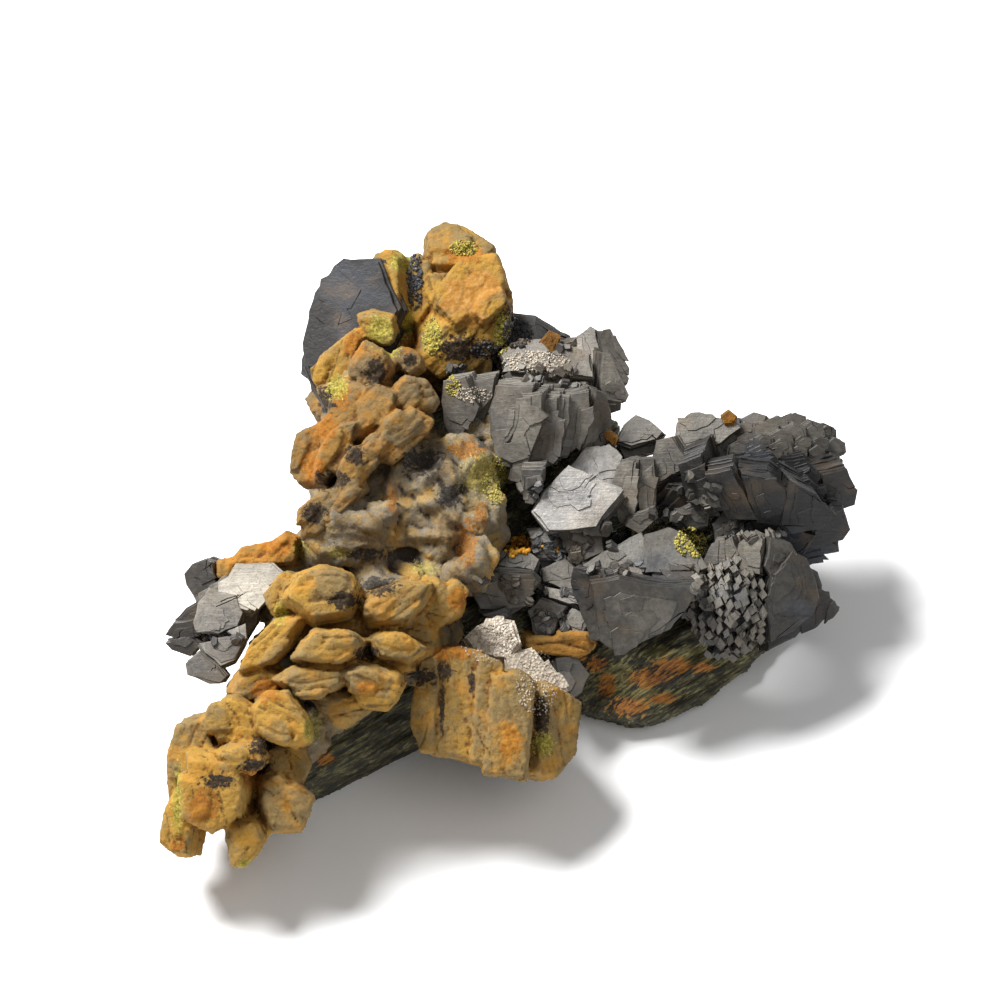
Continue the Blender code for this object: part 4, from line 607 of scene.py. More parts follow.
def edge_plate():
    outline = ((6.3, -19.6), (8.9, -19.2), (10.7, -21.6), (9.7, -24.0), (8.5, -24.6), (6.6, -21.6))
    return [plate(9.4, 4.4, *outline, lean=4, yaw=8, seed=236)]


def left_cluster():
    # The top leaf is painted bright and the leaves of the dark book darker: painted light and painted shade.
    return [
        plate(21.8, 2.4, (-34.4, -10.4), (-33.1, -9.6), (-32.1, -7.9), (-27.7, -7.8), (-26.0, -9.2),
              (-28.4, -11.8), (-30.4, -14.0), (-34.2, -12.9), lean=14, yaw=-4, rim=0.96, seed=241,
              shade=1.0),
        plate(19.6, 3.0, (-37.4, -15.2), (-36.8, -12.7), (-35.4, -10.7), (-32.0, -11.6), (-31.1, -13.9),
              (-31.8, -15.6), (-34.2, -16.6), (-37.1, -16.1), lean=4, yaw=-8, seed=242, shade=0.5),
        plate(18.0, 3.2, (-36.8, -17.6), (-33.6, -17.0), (-30.8, -17.4), (-32.2, -19.8), (-34.1, -20.6),
              (-36.2, -18.8), lean=6, rim=0.94, seed=243),
        plate(17.4, 3.4, (-38.1, -19.7), (-36.4, -18.2), (-34.1, -20.0), (-33.0, -21.4), (-33.6, -22.3),
              (-35.0, -22.3), (-37.8, -21.2), yaw=-6, rim=0.94, seed=244, shade=-0.3),
        plate(19.4, 2.4, (-33.4, -16.0), (-31.0, -15.0), (-30.8, -17.0), (-31.6, -17.6), lean=10, rim=0.93,
              seed=245, shade=0.4),
        plate(17.6, 3.2, (-38.5, -9.0), (-37.4, -7.7), (-35.8, -7.1), (-34.8, -7.5), (-34.2, -10.4),
              (-36.9, -12.5), (-38.2, -10.4), lean=-4, yaw=-14, seed=246, shade=-0.7),
        plate(17.2, 2.0, (-39.8, -14.8), (-38.3, -13.2), (-36.6, -12.2), (-35.4, -14.0), (-37.0, -15.4),
              lean=-6, yaw=-10, rim=0.93, seed=247, shade=-0.7),
        plate(16.6, 2.2, (-41.0, -16.3), (-39.8, -14.7), (-36.4, -14.0), (-36.0, -16.4), (-39.4, -16.8),
              lean=-10, yaw=-8, rim=0.93, seed=248, shade=-0.7),
        plate(15.4, 2.2, (-40.9, -17.2), (-37.7, -16.4), (-36.2, -17.4), (-37.6, -19.0), (-40.1, -18.1),
              lean=-12, yaw=-6, rim=0.93, seed=249, shade=-0.7),
        plate(15.8, 5.4, (-37.4, -12.0), (-33.0, -9.0), (-29.0, -10.0), (-29.6, -15.0), (-32.4, -19.6),
              (-36.4, -20.4), rim=0.96, seed=240),
    ]


def limonite_left_bar():
    return [
        plate(18.6, 5.0, (-34.8, -7.5), (-32.6, -7.0), (-32.0, -8.8), (-33.4, -10.2), (-34.6, -9.6),
              rim=0.82, shoulder=0.1, seed=251),
        plate(19.4, 6.0, (-32.8, -7.6), (-31.8, -6.0), (-28.0, -5.3), (-26.8, -7.2), (-29.0, -9.0),
              (-32.2, -8.8), lean=10, rim=0.8, shoulder=0.1, seed=252),
        plate(20.4, 7.0, (-28.8, -6.0), (-26.4, -3.8), (-24.6, -4.6), (-25.0, -8.0), (-28.4, -8.6), rim=0.8,
              shoulder=0.1, seed=253),
    ]


def limonite_front_bar():
    return [
        plate(12.0, 5.0, (2.3, -16.3), (5.1, -16.3), (9.2, -17.2), (11.7, -17.0), (11.7, -18.2),
              (10.2, -19.3), (6.9, -18.9), (2.7, -18.2), lean=-10, rim=0.84, shoulder=0.1, seed=255),
    ]


def back_leaves():
    return [
        leaf(at_back(6, 26, 13), (14, 11, 4), turn=70, lean=60, yaw=150, sides=7, seed=261),
        leaf(at_back(-1, 29, 11), (12, 9, 4), turn=95, lean=50, yaw=175, sides=7, seed=262),
        leaf(at_back(3, 23, 20), (11, 8, 5), turn=40, lean=65, yaw=160, sides=6, seed=263),
    ]


def back_blocks():
    return [
        block(at_back(-18, 18, 12), (9, 9, 10), turn=20, lean=40, yaw=-120, seed=271),
        block(at_back(-11, 24, 12), (10, 9, 10), turn=-20, lean=45, yaw=170, seed=272),
        block(at_back(-20, 9, 12), (9, 9, 9), turn=10, lean=30, yaw=-100, seed=273),
    ]


def mesh_of(bm, name):
    """A mesh made of what was built up, which is then let go."""
    mesh = bpy.data.meshes.new(name)
    bm.to_mesh(mesh)
    bm.free()
    return mesh


def prism(outline, low, high, place, tone, arris=ARRIS):
    """A thin plate with an outline, whose front edge is worn to a narrow arris."""
    bm = bmesh.new()
    grain = bm.loops.layers.uv.new("grain")
    tones = bm.faces.layers.float.new("tone")
    rims = bm.faces.layers.float.new("rim")
    middle = sum(outline, Vector((0.0, 0.0))) / len(outline)
    drawn_in = [point + (middle - point).normalized() * arris for point in outline]
    rings = [
        [bm.verts.new((point.x, point.y, height)) for point in ring]
        for ring, height in ((outline, low), (outline, high - arris), (drawn_in, high))
    ]
    caps = [bm.faces.new(rings[2]), bm.faces.new(rings[0][::-1])]
    for lower, upper in zip(rings, rings[1:]):
        for i in range(len(outline)):
            j = (i + 1) % len(outline)
            bm.faces.new((lower[i], lower[j], upper[j], upper[i]))
    for face in bm.faces:
        on_rim = face not in caps
        face[tones] = tone
        face[rims] = 1.0 if on_rim else 0.0
        for loop in face.loops:
            x, y, z = loop.vert.co
            loop[grain].uv = (math.atan2(y, x) * 4.0, z) if on_rim else (x, y)
    bm.normal_update()
    if caps[0].normal.z < 0.0:
        bmesh.ops.reverse_faces(bm, faces=bm.faces)
    bm.transform(place)
    return mesh_of(bm, "sheet")


def toothed(corners, rng, tooth, bite):
    """An outline through the corners whose sides are notched in small irregular teeth."""
    outline = []
    for corner, following in zip(corners, corners[1:] + corners[:1]):
        along = following - corner
        inward = Vector((along.y, -along.x)).normalized()
        if inward.dot(-(corner + following)) < 0.0:
            inward.negate()
        teeth = max(1, round(along.length / tooth))
        outline.append(corner.copy())
        for k in range(1, teeth):
            share = (k + rng.uniform(-0.3, 0.3)) / teeth
            outline.append(corner + along * share + inward * rng.uniform(-0.3, 1.0) * bite)
    return outline


def sheets_of(crystal, sheet=SHEET, tooth=TOOTH, bite=BITE, chips=CHIPS):
    """A crystal as a stack of thin sheets, each a little turned and drawn back from the one below it."""
    rng = random.Random(crystal["seed"] * 17 + 5)
    thick = crystal["thick"]
    count = max(2, round(thick / sheet))
    made = []
    for k in range(count):
        share = k / (count - 1)
        drawn = 1.0 - (1.0 - crystal["rim"]) * share * rng.uniform(0.6, 1.4)
        turned = Matrix.Rotation(math.radians(rng.uniform(-TURN, TURN)), 2)
        slide = Vector((rng.uniform(-1.0, 1.0), rng.uniform(-1.0, 1.0))) * SLIDE
        corners = [
            turned @ corner * drawn * rng.uniform(0.985, 1.01) + slide for corner in crystal["corners"]
        ]
        low = thick * (k / count - 0.5)
        tilt = Matrix.Rotation(math.radians(rng.uniform(-TURN, TURN)), 4, rng.choice("XY"))
        outline = toothed(corners, rng, tooth, bite)
        # Each sheet keeps its crystal's painted light and shade, with a little random tone.
        tone = crystal["shade"] + rng.uniform(-0.2, 0.2)
        made.append(prism(outline, low - 0.2, low + thick / count, crystal["place"] @ tilt, tone))
    longest = max(corner.length for corner in crystal["corners"])
    made += terraces(crystal, rng, longest)
    made += [chip(crystal, rng, longest) for _ in range(round(chips * longest * longest * math.pi))]
    return made


def terraces(crystal, rng, longest):
    """Thin steps on the front of a crystal, each smaller than the last and all crowded to one side."""
    aside = rng.uniform(-40.0, 40.0) - crystal["seed"] % 3 * 120.0
    way = Matrix.Rotation(math.radians(aside), 2) @ Vector((0.0, 1.0))
    made = []
    high = crystal["thick"] / 2.0
    low = high - 0.3
    drawn = crystal["rim"]
    for _ in range(min(3, round(longest * 0.45))):
        drawn *= rng.uniform(0.55, 0.85)
        high += rng.uniform(0.06, 0.14)
        slide = way * longest * (crystal["rim"] - drawn) * rng.uniform(0.6, 0.9)
        corners = [corner * drawn * rng.uniform(0.75, 1.15) + slide for corner in crystal["corners"]]
        tone = crystal["shade"] + rng.uniform(-0.15, 0.3)
        made.append(prism(toothed(corners, rng, 0.7, 0.2), low, high, crystal["place"], tone, arris=0.05))
    return made


def chip(crystal, rng, longest):
    """A thin broken flake that still sits on the front of a crystal."""
    corner = rng.choice(crystal["corners"])
    following = rng.choice(crystal["corners"])
    share = rng.random()
    centre = (corner * share + following * (1.0 - share)) * rng.uniform(0.1, 0.75)
    sides = rng.randint(4, 6)
    reach = rng.uniform(0.14, 0.34) * longest
    start = rng.uniform(0.0, math.tau)
    corners = []
    for i in range(sides):
        angle = start + math.tau * (i + rng.uniform(-0.25, 0.25)) / sides
        corners.append(centre + Vector((math.cos(angle), math.sin(angle) * rng.uniform(0.5, 0.9))) * reach)
    top = crystal["thick"] / 2.0
    tone = crystal["shade"] + rng.uniform(-0.2, 0.2)
    return prism(corners, top - 0.4, top + rng.uniform(0.08, 0.24), crystal["place"], tone, arris=0.05)


def crack(crystal, rng):
    """A narrow dark cleft that runs in from the edge of a crystal's front."""
    start = rng.choice(crystal["corners"]) * rng.uniform(0.9, 1.1)
    way = (-start).normalized()
    way.rotate(Matrix.Rotation(math.radians(rng.uniform(-35.0, 35.0)), 2))
    aside = Vector((-way.y, way.x))
    length = start.length * rng.uniform(0.7, 1.3)
    bends = [rng.uniform(-0.25, 0.25) for _ in range(4)]
    left = []
    right = []
    for k, bend in enumerate(bends):
        share = k / len(bends)
        half = 0.5 * (0.2 - 0.17 * share) * rng.uniform(0.6, 1.1)
        point = start + way * length * share + aside * bend
        left.append(point + aside * half)
        right.append(point - aside * half)
    outline = left + [start + way * length] + right[::-1]
    top = crystal["thick"] / 2.0
    return prism(outline, top - rng.uniform(0.5, 1.2), top + 1.2, crystal["place"], 0.0, arris=0.0)


def combined(meshes, operation):
    """The first mesh after a Boolean with all the others."""
    scene = bpy.context.scene
    base = bpy.data.objects.new("base", meshes[0])
    scene.collection.objects.link(base)
    group = bpy.data.collections.new("operands")
    scene.collection.children.link(group)
    for mesh in meshes[1:]:
        group.objects.link(bpy.data.objects.new("operand", mesh))
    modifier = base.modifiers.new(operation, "BOOLEAN")
    modifier.operation = operation
    modifier.operand_type = "COLLECTION"
    modifier.collection = group
    modifier.solver = "MANIFOLD"
    result = evaluated(base)
    for helper in list(group.objects):
        bpy.data.objects.remove(helper)
    bpy.data.collections.remove(group)
    bpy.data.objects.remove(base)
    for mesh in meshes:
        bpy.data.meshes.remove(mesh)
    return result


def evaluated(obj):
    """The mesh of an object with its modifiers applied."""
    bpy.context.view_layer.update()
    graph = bpy.context.evaluated_depsgraph_get()
    return bpy.data.meshes.new_from_object(obj.evaluated_get(graph))


def crystals_mesh(crystals):
    """A whole cluster of leaves as one mesh, with some of their faces cracked."""
    sheets = [sheet for crystal in crystals for sheet in sheets_of(crystal)]
    mesh = combined(sheets, "UNION")
    rng = random.Random(len(sheets))
    clefts = [crack(crystal, rng) for crystal in crystals for _ in range(2) if rng.random() < CRACKED]
    return combined([mesh] + clefts, "DIFFERENCE") if clefts else mesh


def plain_solid(crystal):
    """A crystal as a plain solid with upright sides as far as its shoulder, drawn in beyond it."""
    bm = bmesh.new()
    for share, drawn in ((-0.5, 1.0), (crystal["shoulder"], 1.0), (0.5, crystal["rim"])):
        for corner in crystal["corners"]:
            bm.verts.new((corner.x * drawn, corner.y * drawn, share * crystal["thick"]))
    wrapped = bmesh.ops.convex_hull(bm, input=bm.verts[:])
    inner = [item for item in wrapped["geom_interior"] if isinstance(item, bmesh.types.BMVert)]
    bmesh.ops.delete(bm, geom=inner, context="VERTS")
    bmesh.ops.recalc_face_normals(bm, faces=bm.faces)
    bm.transform(crystal["place"])
    return mesh_of(bm, "prism")


def remeshed(mesh, grain, smooth):
    """The mesh made of even small faces, with its sharpest edges worn down."""
    obj = bpy.data.objects.new("rough", mesh)
    bpy.context.scene.collection.objects.link(obj)
    remesh = obj.modifiers.new("remesh", "REMESH")
    remesh.mode = "VOXEL"
    remesh.voxel_size = grain
    wear = obj.modifiers.new("wear", "SMOOTH")
    wear.factor = 0.5
    wear.iterations = smooth
    result = evaluated(obj)
    bpy.data.objects.remove(obj)
    return result


def node_mesh(name):
    """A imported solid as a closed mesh, in millimetres from the display face's origin."""
    mesh = frame["nodes"][name].data.copy()
    bm = bmesh.new()
    bm.from_mesh(mesh)
    bmesh.ops.remove_doubles(bm, verts=bm.verts, dist=0.00001)
    bm.transform(Matrix.Translation(FOOTPRINT_MIDDLE) @ Matrix.Scale(1.0 / MM, 4))
    bm.to_mesh(mesh)
    bm.free()
    return mesh


def points_of(mesh):
    """Where every vertex is, as rows of x, y and z."""
    points = np.empty(len(mesh.vertices) * 3)
    mesh.vertices.foreach_get("co", points)
    return points.reshape(-1, 3)


def normals_of(mesh):
    """Which way the surface faces at every vertex."""
    normals = np.empty(len(mesh.vertices) * 3, dtype=np.float32)
    mesh.vertex_normals.foreach_get("vector", normals)
    return normals.reshape(-1, 3).astype(float)


def raise_points(mesh, points, rise):
    """Moves every vertex out of the surface by its rise, and none below the table."""
    points = points + normals_of(mesh) * rise[:, None]
    points[:, 2] = np.maximum(points[:, 2], LEAST_HEIGHT)
    put_points(mesh, points)


def put_points(mesh, points):
    mesh.vertices.foreach_set("co", points.ravel())
    mesh.update()


def noise_at(points, scale, octaves, seed):
    """Fractal noise of about -1 to 1 at each point, its waves a millimetre given once or for x, y and z."""
    offset = Vector((seed * 17.3, seed * 5.1, seed * 9.7))
    scaled = points * np.array(scale)
    return np.array([noise.fractal(Vector(point) + offset, 1.0, 2.0, octaves) for point in scaled])


def near(points, spots, normals):
    """How much each point belongs to a set of patches on the display face, from 0 to 1.

    A patch is how far it lies across and up, and half its width and height.
    """
    up = points[:, 1] * UP.y + (points[:, 2] - MIDDLE_HEIGHT) * UP.z
    facing = np.clip(normals @ np.array(OUT) * 2.0 + 0.6, 0.0, 1.0)
    found = np.zeros(len(points))
    for across, high, half_width, half_height in spots:
        away = np.hypot((points[:, 0] - across) / half_width, (up - high) / half_height)
        found = np.maximum(found, np.clip(1.4 - 0.9 * away, 0.0, 1.0))
    return found * facing


def paint(mesh, name, values):
    """Keeps a number for every vertex under a name that the materials read."""
    attribute = mesh.attributes.new(name, "FLOAT", "POINT")
    attribute.data.foreach_set("value", np.ascontiguousarray(values, dtype=np.float32))


def hollowness(mesh, points, normals):
    """How far each vertex lies below its neighbourhood: over 0 in a groove, under 0 on a tip."""
    edges = np.empty(len(mesh.edges) * 2, dtype=np.int32)
    mesh.edges.foreach_get("vertices", edges)
    edges = edges.reshape(-1, 2)
    links = np.bincount(edges.ravel(), minlength=len(points))[:, None]
    level = points.copy()
    for _ in range(EVENINGS):
        total = np.zeros_like(level)
        np.add.at(total, edges[:, 0], level[edges[:, 1]])
        np.add.at(total, edges[:, 1], level[edges[:, 0]])
        level = total / np.maximum(links, 1)
    return ((level - points) * normals).sum(axis=1)


# Patches of colour, and spots of painted shade in the dark holes and gaps, each as across, up, half the width
# and half the height.
EARTH_PATCHES = {
    "orange": (
        (-18.1, 19.1, 1.6, 2.4), (-2.4, -1.8, 1.0, 2.2), (-16.0, -22.4, 1.8, 1.0), (-38.6, -41.0, 1.2, 1.6),
        (-11.3, 20.0, 1.6, 2.4), (-20.0, 12.5, 2.2, 2.0), (-21.5, 8.8, 2.0, 2.6), (-22.8, 4.0, 2.0, 2.8),
        (-13.2, 0.0, 0.9, 2.6), (-4.0, 6.2, 3.2, 1.6), (-4.0, -5.0, 1.6, 3.6), (-5.6, -18.4, 3.4, 1.2),
        (-27.2, -5.8, 3.0, 1.2), (-5.0, -12.0, 1.6, 2.0), (1.2, -29.0, 1.6, 3.0), (-4.6, 31.2, 3.0, 1.8),
        (-28.0, -22.8, 2.2, 1.6), (-35.5, -36.5, 2.4, 3.0), (-29.4, -33.0, 1.4, 3.2),
    ),
    "peach": ((-3.8, 26.2, 4.0, 4.0), (-3.6, 22.8, 2.4, 1.6)),
    "sulphur": (
        (-5.6, 14.2, 1.2, 1.6), (0.2, 20.8, 1.2, 3.0), (-8.4, 20.6, 1.4, 2.6), (-4.6, 32.0, 1.8, 1.0),
        (-12.4, 30.0, 2.0, 1.6), (-14.8, 21.0, 2.0, 2.4), (-1.6, 4.2, 2.8, 1.6), (-0.2, 1.8, 1.2, 2.6),
        (-2.4, 2.6, 2.4, 2.2), (-11.8, 22.6, 1.2, 2.6), (-24.4, -6.0, 1.2, 1.4), (5.2, -29.6, 1.6, 1.8),
        (-20.0, 14.0, 1.6, 2.0), (-13.4, 18.6, 1.2, 1.2), (-38.6, -36.0, 0.8, 5.0), (-9.4, -8.4, 2.0, 1.0),
        (-22.6, -27.4, 1.0, 2.0), (-26.4, -13.6, 1.0, 1.6), (-19.8, -6.4, 1.6, 0.8),
        (-30.4, -43.6, 1.2, 0.8),
    ),
    # Dark spots in the holes and gaps between the prisms and in the crust: painted shade.
    "painted_shade": (
        (-5.0, 19.0, 4.2, 2.0), (1.0, 22.4, 1.2, 3.0), (-15.2, 15.6, 1.8, 2.2), (-11.0, 17.2, 1.2, 1.0),
        (-9.4, 4.6, 3.2, 2.2), (-6.0, 0.6, 2.2, 1.8), (-2.4, 7.0, 0.8, 0.8), (-16.6, -6.6, 3.0, 0.9),
        (-13.5, -6.9, 1.4, 0.7), (-6.6, -20.6, 1.4, 1.2), (-3.4, -22.0, 0.5, 2.4), (-7.0, -25.0, 0.4, 4.0),
        (5.0, -26.0, 1.2, 3.6), (-14.6, -10.4, 3.0, 1.4), (-28.6, -29.4, 1.8, 1.4),
        (-29.2, -31.6, 2.4, 0.9), (-21.4, 12.4, 1.8, 2.2), (-20.4, 2.4, 2.6, 1.6), (-17.6, 5.4, 1.4, 1.8),
        (-22.6, -1.6, 1.8, 1.6), (-33.6, -33.4, 2.4, 1.2), (-18.8, -12.0, 2.4, 1.4),
        (-16.0, -18.4, 2.0, 1.2), (-9.4, -21.4, 2.4, 1.4),
    ),
}
ROCK_PATCHES = {
    "orange": (
        (18.6, -22.0, 3.2, 1.4), (21.4, -20.6, 3.0, 1.2), (16.0, -25.6, 2.6, 1.4), (13.2, -23.0, 1.2, 1.8),
        (25.0, -20.8, 2.0, 0.8), (12.0, -20.4, 1.6, 1.0), (20.2, -24.6, 2.2, 0.8), (-22.0, -31.6, 2.0, 0.8),
        (-37.4, -24.0, 0.8, 4.0), (9.6, -19.2, 2.0, 0.9),
    ),
    "sulphur": (
        (14.6, -22.0, 4.0, 2.4), (19.0, -24.4, 5.0, 1.6), (24.6, -19.6, 4.6, 2.0), (20.0, -19.0, 3.0, 1.2),
        (-24.0, -6.8, 2.4, 1.4), (4.6, -29.0, 1.6, 1.4),
    ),
}

# Hollows and ridges of the crust: across, up, half the width, half the height, and how far they rise.
CRUST_RELIEF = (
    (-9.6, 4.8, 1.5, 1.3, -1.3), (-7.4, 2.0, 1.3, 1.1, -1.0), (-6.0, 0.0, 1.2, 1.6, -1.1),
    (-10.9, 17.3, 0.8, 0.8, -1.0), (-2.4, 7.1, 0.6, 0.6, -0.8), (-16.8, -6.9, 2.6, 0.8, -1.0),
    (-12.2, -6.7, 1.5, 0.7, -0.9), (-11.6, 2.6, 1.0, 1.2, -0.7), (-4.4, 1.4, 1.0, 0.9, -0.8),
    (-13.2, 0.2, 0.7, 2.4, 0.9), (-5.0, 6.4, 2.6, 0.8, 1.0), (-3.0, 5.0, 1.6, 0.7, 0.8),
    (-2.6, -4.6, 0.9, 3.4, 0.8), (-16.0, -2.6, 1.6, 1.0, 0.7), (-9.6, -0.6, 2.2, 0.8, 0.6),
    (-10.0, -4.4, 3.0, 0.6, 0.7),
)

# How many degrees the crust's ribs are turned.
CRUST_SLANT = -50.0

# Worn crystals: how far apart their ribs lie across and through them, and how high lumps and grit stand.
RIB_SPACING = (1.7, 2.9)
LUMPS = 0.12
GRIT = 0.12


def longest_way(corners):
    """The direction between the two corners of an outline that are farthest apart."""
    ways = [first - second for first in corners for second in corners]
    return max(ways, key=lambda way: way.length).normalized()


def earthy(mesh, shapes, seed, rib=0.2, streak=0.2):
    """Fine ribs, streaks and grain on worn crystals, and the numbers that their material colours them by."""
    points = points_of(mesh)
    owner = np.zeros(len(points), dtype=int)
    nearest = np.full(len(points), np.inf)
    local = np.zeros_like(points)
    for number, shape in enumerate(shapes):
        inverse = np.array(shape["place"].inverted())
        inside = points @ inverse[:3, :3].T + inverse[:3, 3]
        way = longest_way(shape["corners"])
        aside = Vector((-way.y, way.x))
        length = max(abs(corner.dot(way)) for corner in shape["corners"])
        width = max(abs(corner.dot(aside)) for corner in shape["corners"])
        flat = inside[:, :2]
        turned = np.stack((flat @ np.array(way), flat @ np.array(aside), inside[:, 2]), axis=1)
        reach = np.abs(turned / np.array((length, width, shape["thick"] / 2.0))).max(axis=1)
        closer = reach < nearest
        nearest[closer] = reach[closer]
        owner[closer] = number
        local[closer] = turned[closer] + number * 7.7
    streaks = noise_at(local, (0.2, 1.9, 1.9), 4, seed)
    bends = noise_at(local, (0.12, 0.3, 0.3), 2, seed + 5.0)
    waves = local[:, 1] / RIB_SPACING[0] + local[:, 2] / RIB_SPACING[1] + bends * 0.9
    ribs = np.abs(np.sin(math.pi * waves)) ** 0.7
    shown = np.clip(noise_at(local, (0.1, 0.25, 0.25), 2, seed + 6.0) * 1.5 + 0.6, 0.0, 1.0)
    ribs = 1.0 - (1.0 - ribs) * shown
    lumps = noise_at(points, 0.55, 3, seed + 1.0)
    grains = noise_at(points, 2.4, 2, seed + 2.0)
    raise_points(mesh, points, (ribs - 0.7) * rib + streaks * streak + lumps * LUMPS + grains * GRIT)
    rng = random.Random(seed)
    tones = np.array([rng.random() for _ in shapes])
    paint(mesh, "tone", tones[owner])
    paint(mesh, "streak", ribs)
    colour_patches(mesh, EARTH_PATCHES)


def colour_patches(mesh, patches):
    """The numbers that the earthy materials read: how much each patch covers, and where the grooves are."""
    points = points_of(mesh)
    normals = normals_of(mesh)
    for name, spots in patches.items():
        paint(mesh, name, near(points, spots, normals))
    paint(mesh, "hollow", hollowness(mesh, points, normals))


def offshoots(shapes, count):
    """Smaller prisms grown on the flanks and ends of others, in the same direction."""
    rng = random.Random(len(shapes))
    made = []
    for shape in shapes:
        reach = max(corner.length for corner in shape["corners"])
        for number in range(count):
            shrink = rng.uniform(0.4, 0.7)
            aside = Vector((rng.uniform(-0.45, 0.45), rng.uniform(-0.45, 0.45), 0.0)) * reach
            aside.z = shape["thick"] * (0.5 - 0.4 * shrink)
            child = dict(shape)
            child["corners"] = [corner * shrink for corner in shape["corners"]]
            child["thick"] = shape["thick"] * shrink
            child["place"] = shape["place"] @ Matrix.Translation(aside)
            child["seed"] = shape["seed"] + 400 + number
            made.append(child)
    return made


def worn_prisms(shapes, seed, children=1, wear=8, **detail):
    """A cluster of coated prisms as one mesh, its edges worn round."""
    shapes = shapes + offshoots(shapes, children)
    mesh = remeshed(combined([plain_solid(shape) for shape in shapes], "UNION"), EARTH_GRAIN, wear)
    earthy(mesh, shapes, seed, **detail)
    return mesh


def crust_mesh():
    """The weathered crust of the ridge, lumpy, with slanting ribs, hollows and ridges."""
    mesh = remeshed(node_mesh("limonite_ridge"), CRUST_GRAIN, 6)
    points = points_of(mesh)
    normals = normals_of(mesh)
    swell = noise_at(points, 0.16, 3, 3.0)
    knobs = noise_at(points, 0.5, 4, 4.0)
    grains = noise_at(points, 2.2, 2, 5.0)
    slanted = points @ np.array(Matrix.Rotation(math.radians(CRUST_SLANT), 3, "Z"))
    slants = noise_at(slanted, (0.1, 0.55, 0.4), 4, 9.0)
    rise = swell * 0.9 + np.abs(knobs) * 0.3 - 0.1 + slants * 0.9 + grains * 0.12
    for *patch, height in CRUST_RELIEF:
        rise += near(points, (patch,), normals) * height
    raise_points(mesh, points, rise)
    paint(mesh, "tone", np.clip(swell * 0.5 + 0.5, 0.0, 1.0))
    paint(mesh, "streak", knobs)
    colour_patches(mesh, EARTH_PATCHES)
    return mesh


def rock_mesh():
    """The fibrous dark rock under everything, broken in long splinters, with a flat underside."""
    mesh = remeshed(node_mesh("skarn_matrix"), ROCK_GRAIN, 2)
    points = points_of(mesh)
    along = points @ np.array(Matrix.Rotation(math.radians(FIBRE_TURN), 3, "Z"))
    splinters = noise_at(along, (0.09, 0.9, 0.5), 4, 6.0)
    swell = noise_at(points, 0.22, 2, 7.0)
    grains = noise_at(along, (0.7, 2.6, 2.0), 2, 8.0)
    rise = np.abs(splinters) * 0.9 + swell * 0.5 + grains * 0.14 - 0.2
    rise *= np.clip(points[:, 2] / 1.5, 0.0, 1.0)
    points = points + normals_of(mesh) * rise[:, None]
    points[:, 2] = np.where(points[:, 2] < FLAT_BELOW, 0.0, points[:, 2])
    put_points(mesh, points)
    paint(mesh, "tone", np.clip(swell * 0.5 + 0.5, 0.0, 1.0))
    paint(mesh, "streak", splinters)
    colour_patches(mesh, ROCK_PATCHES)
    return mesh


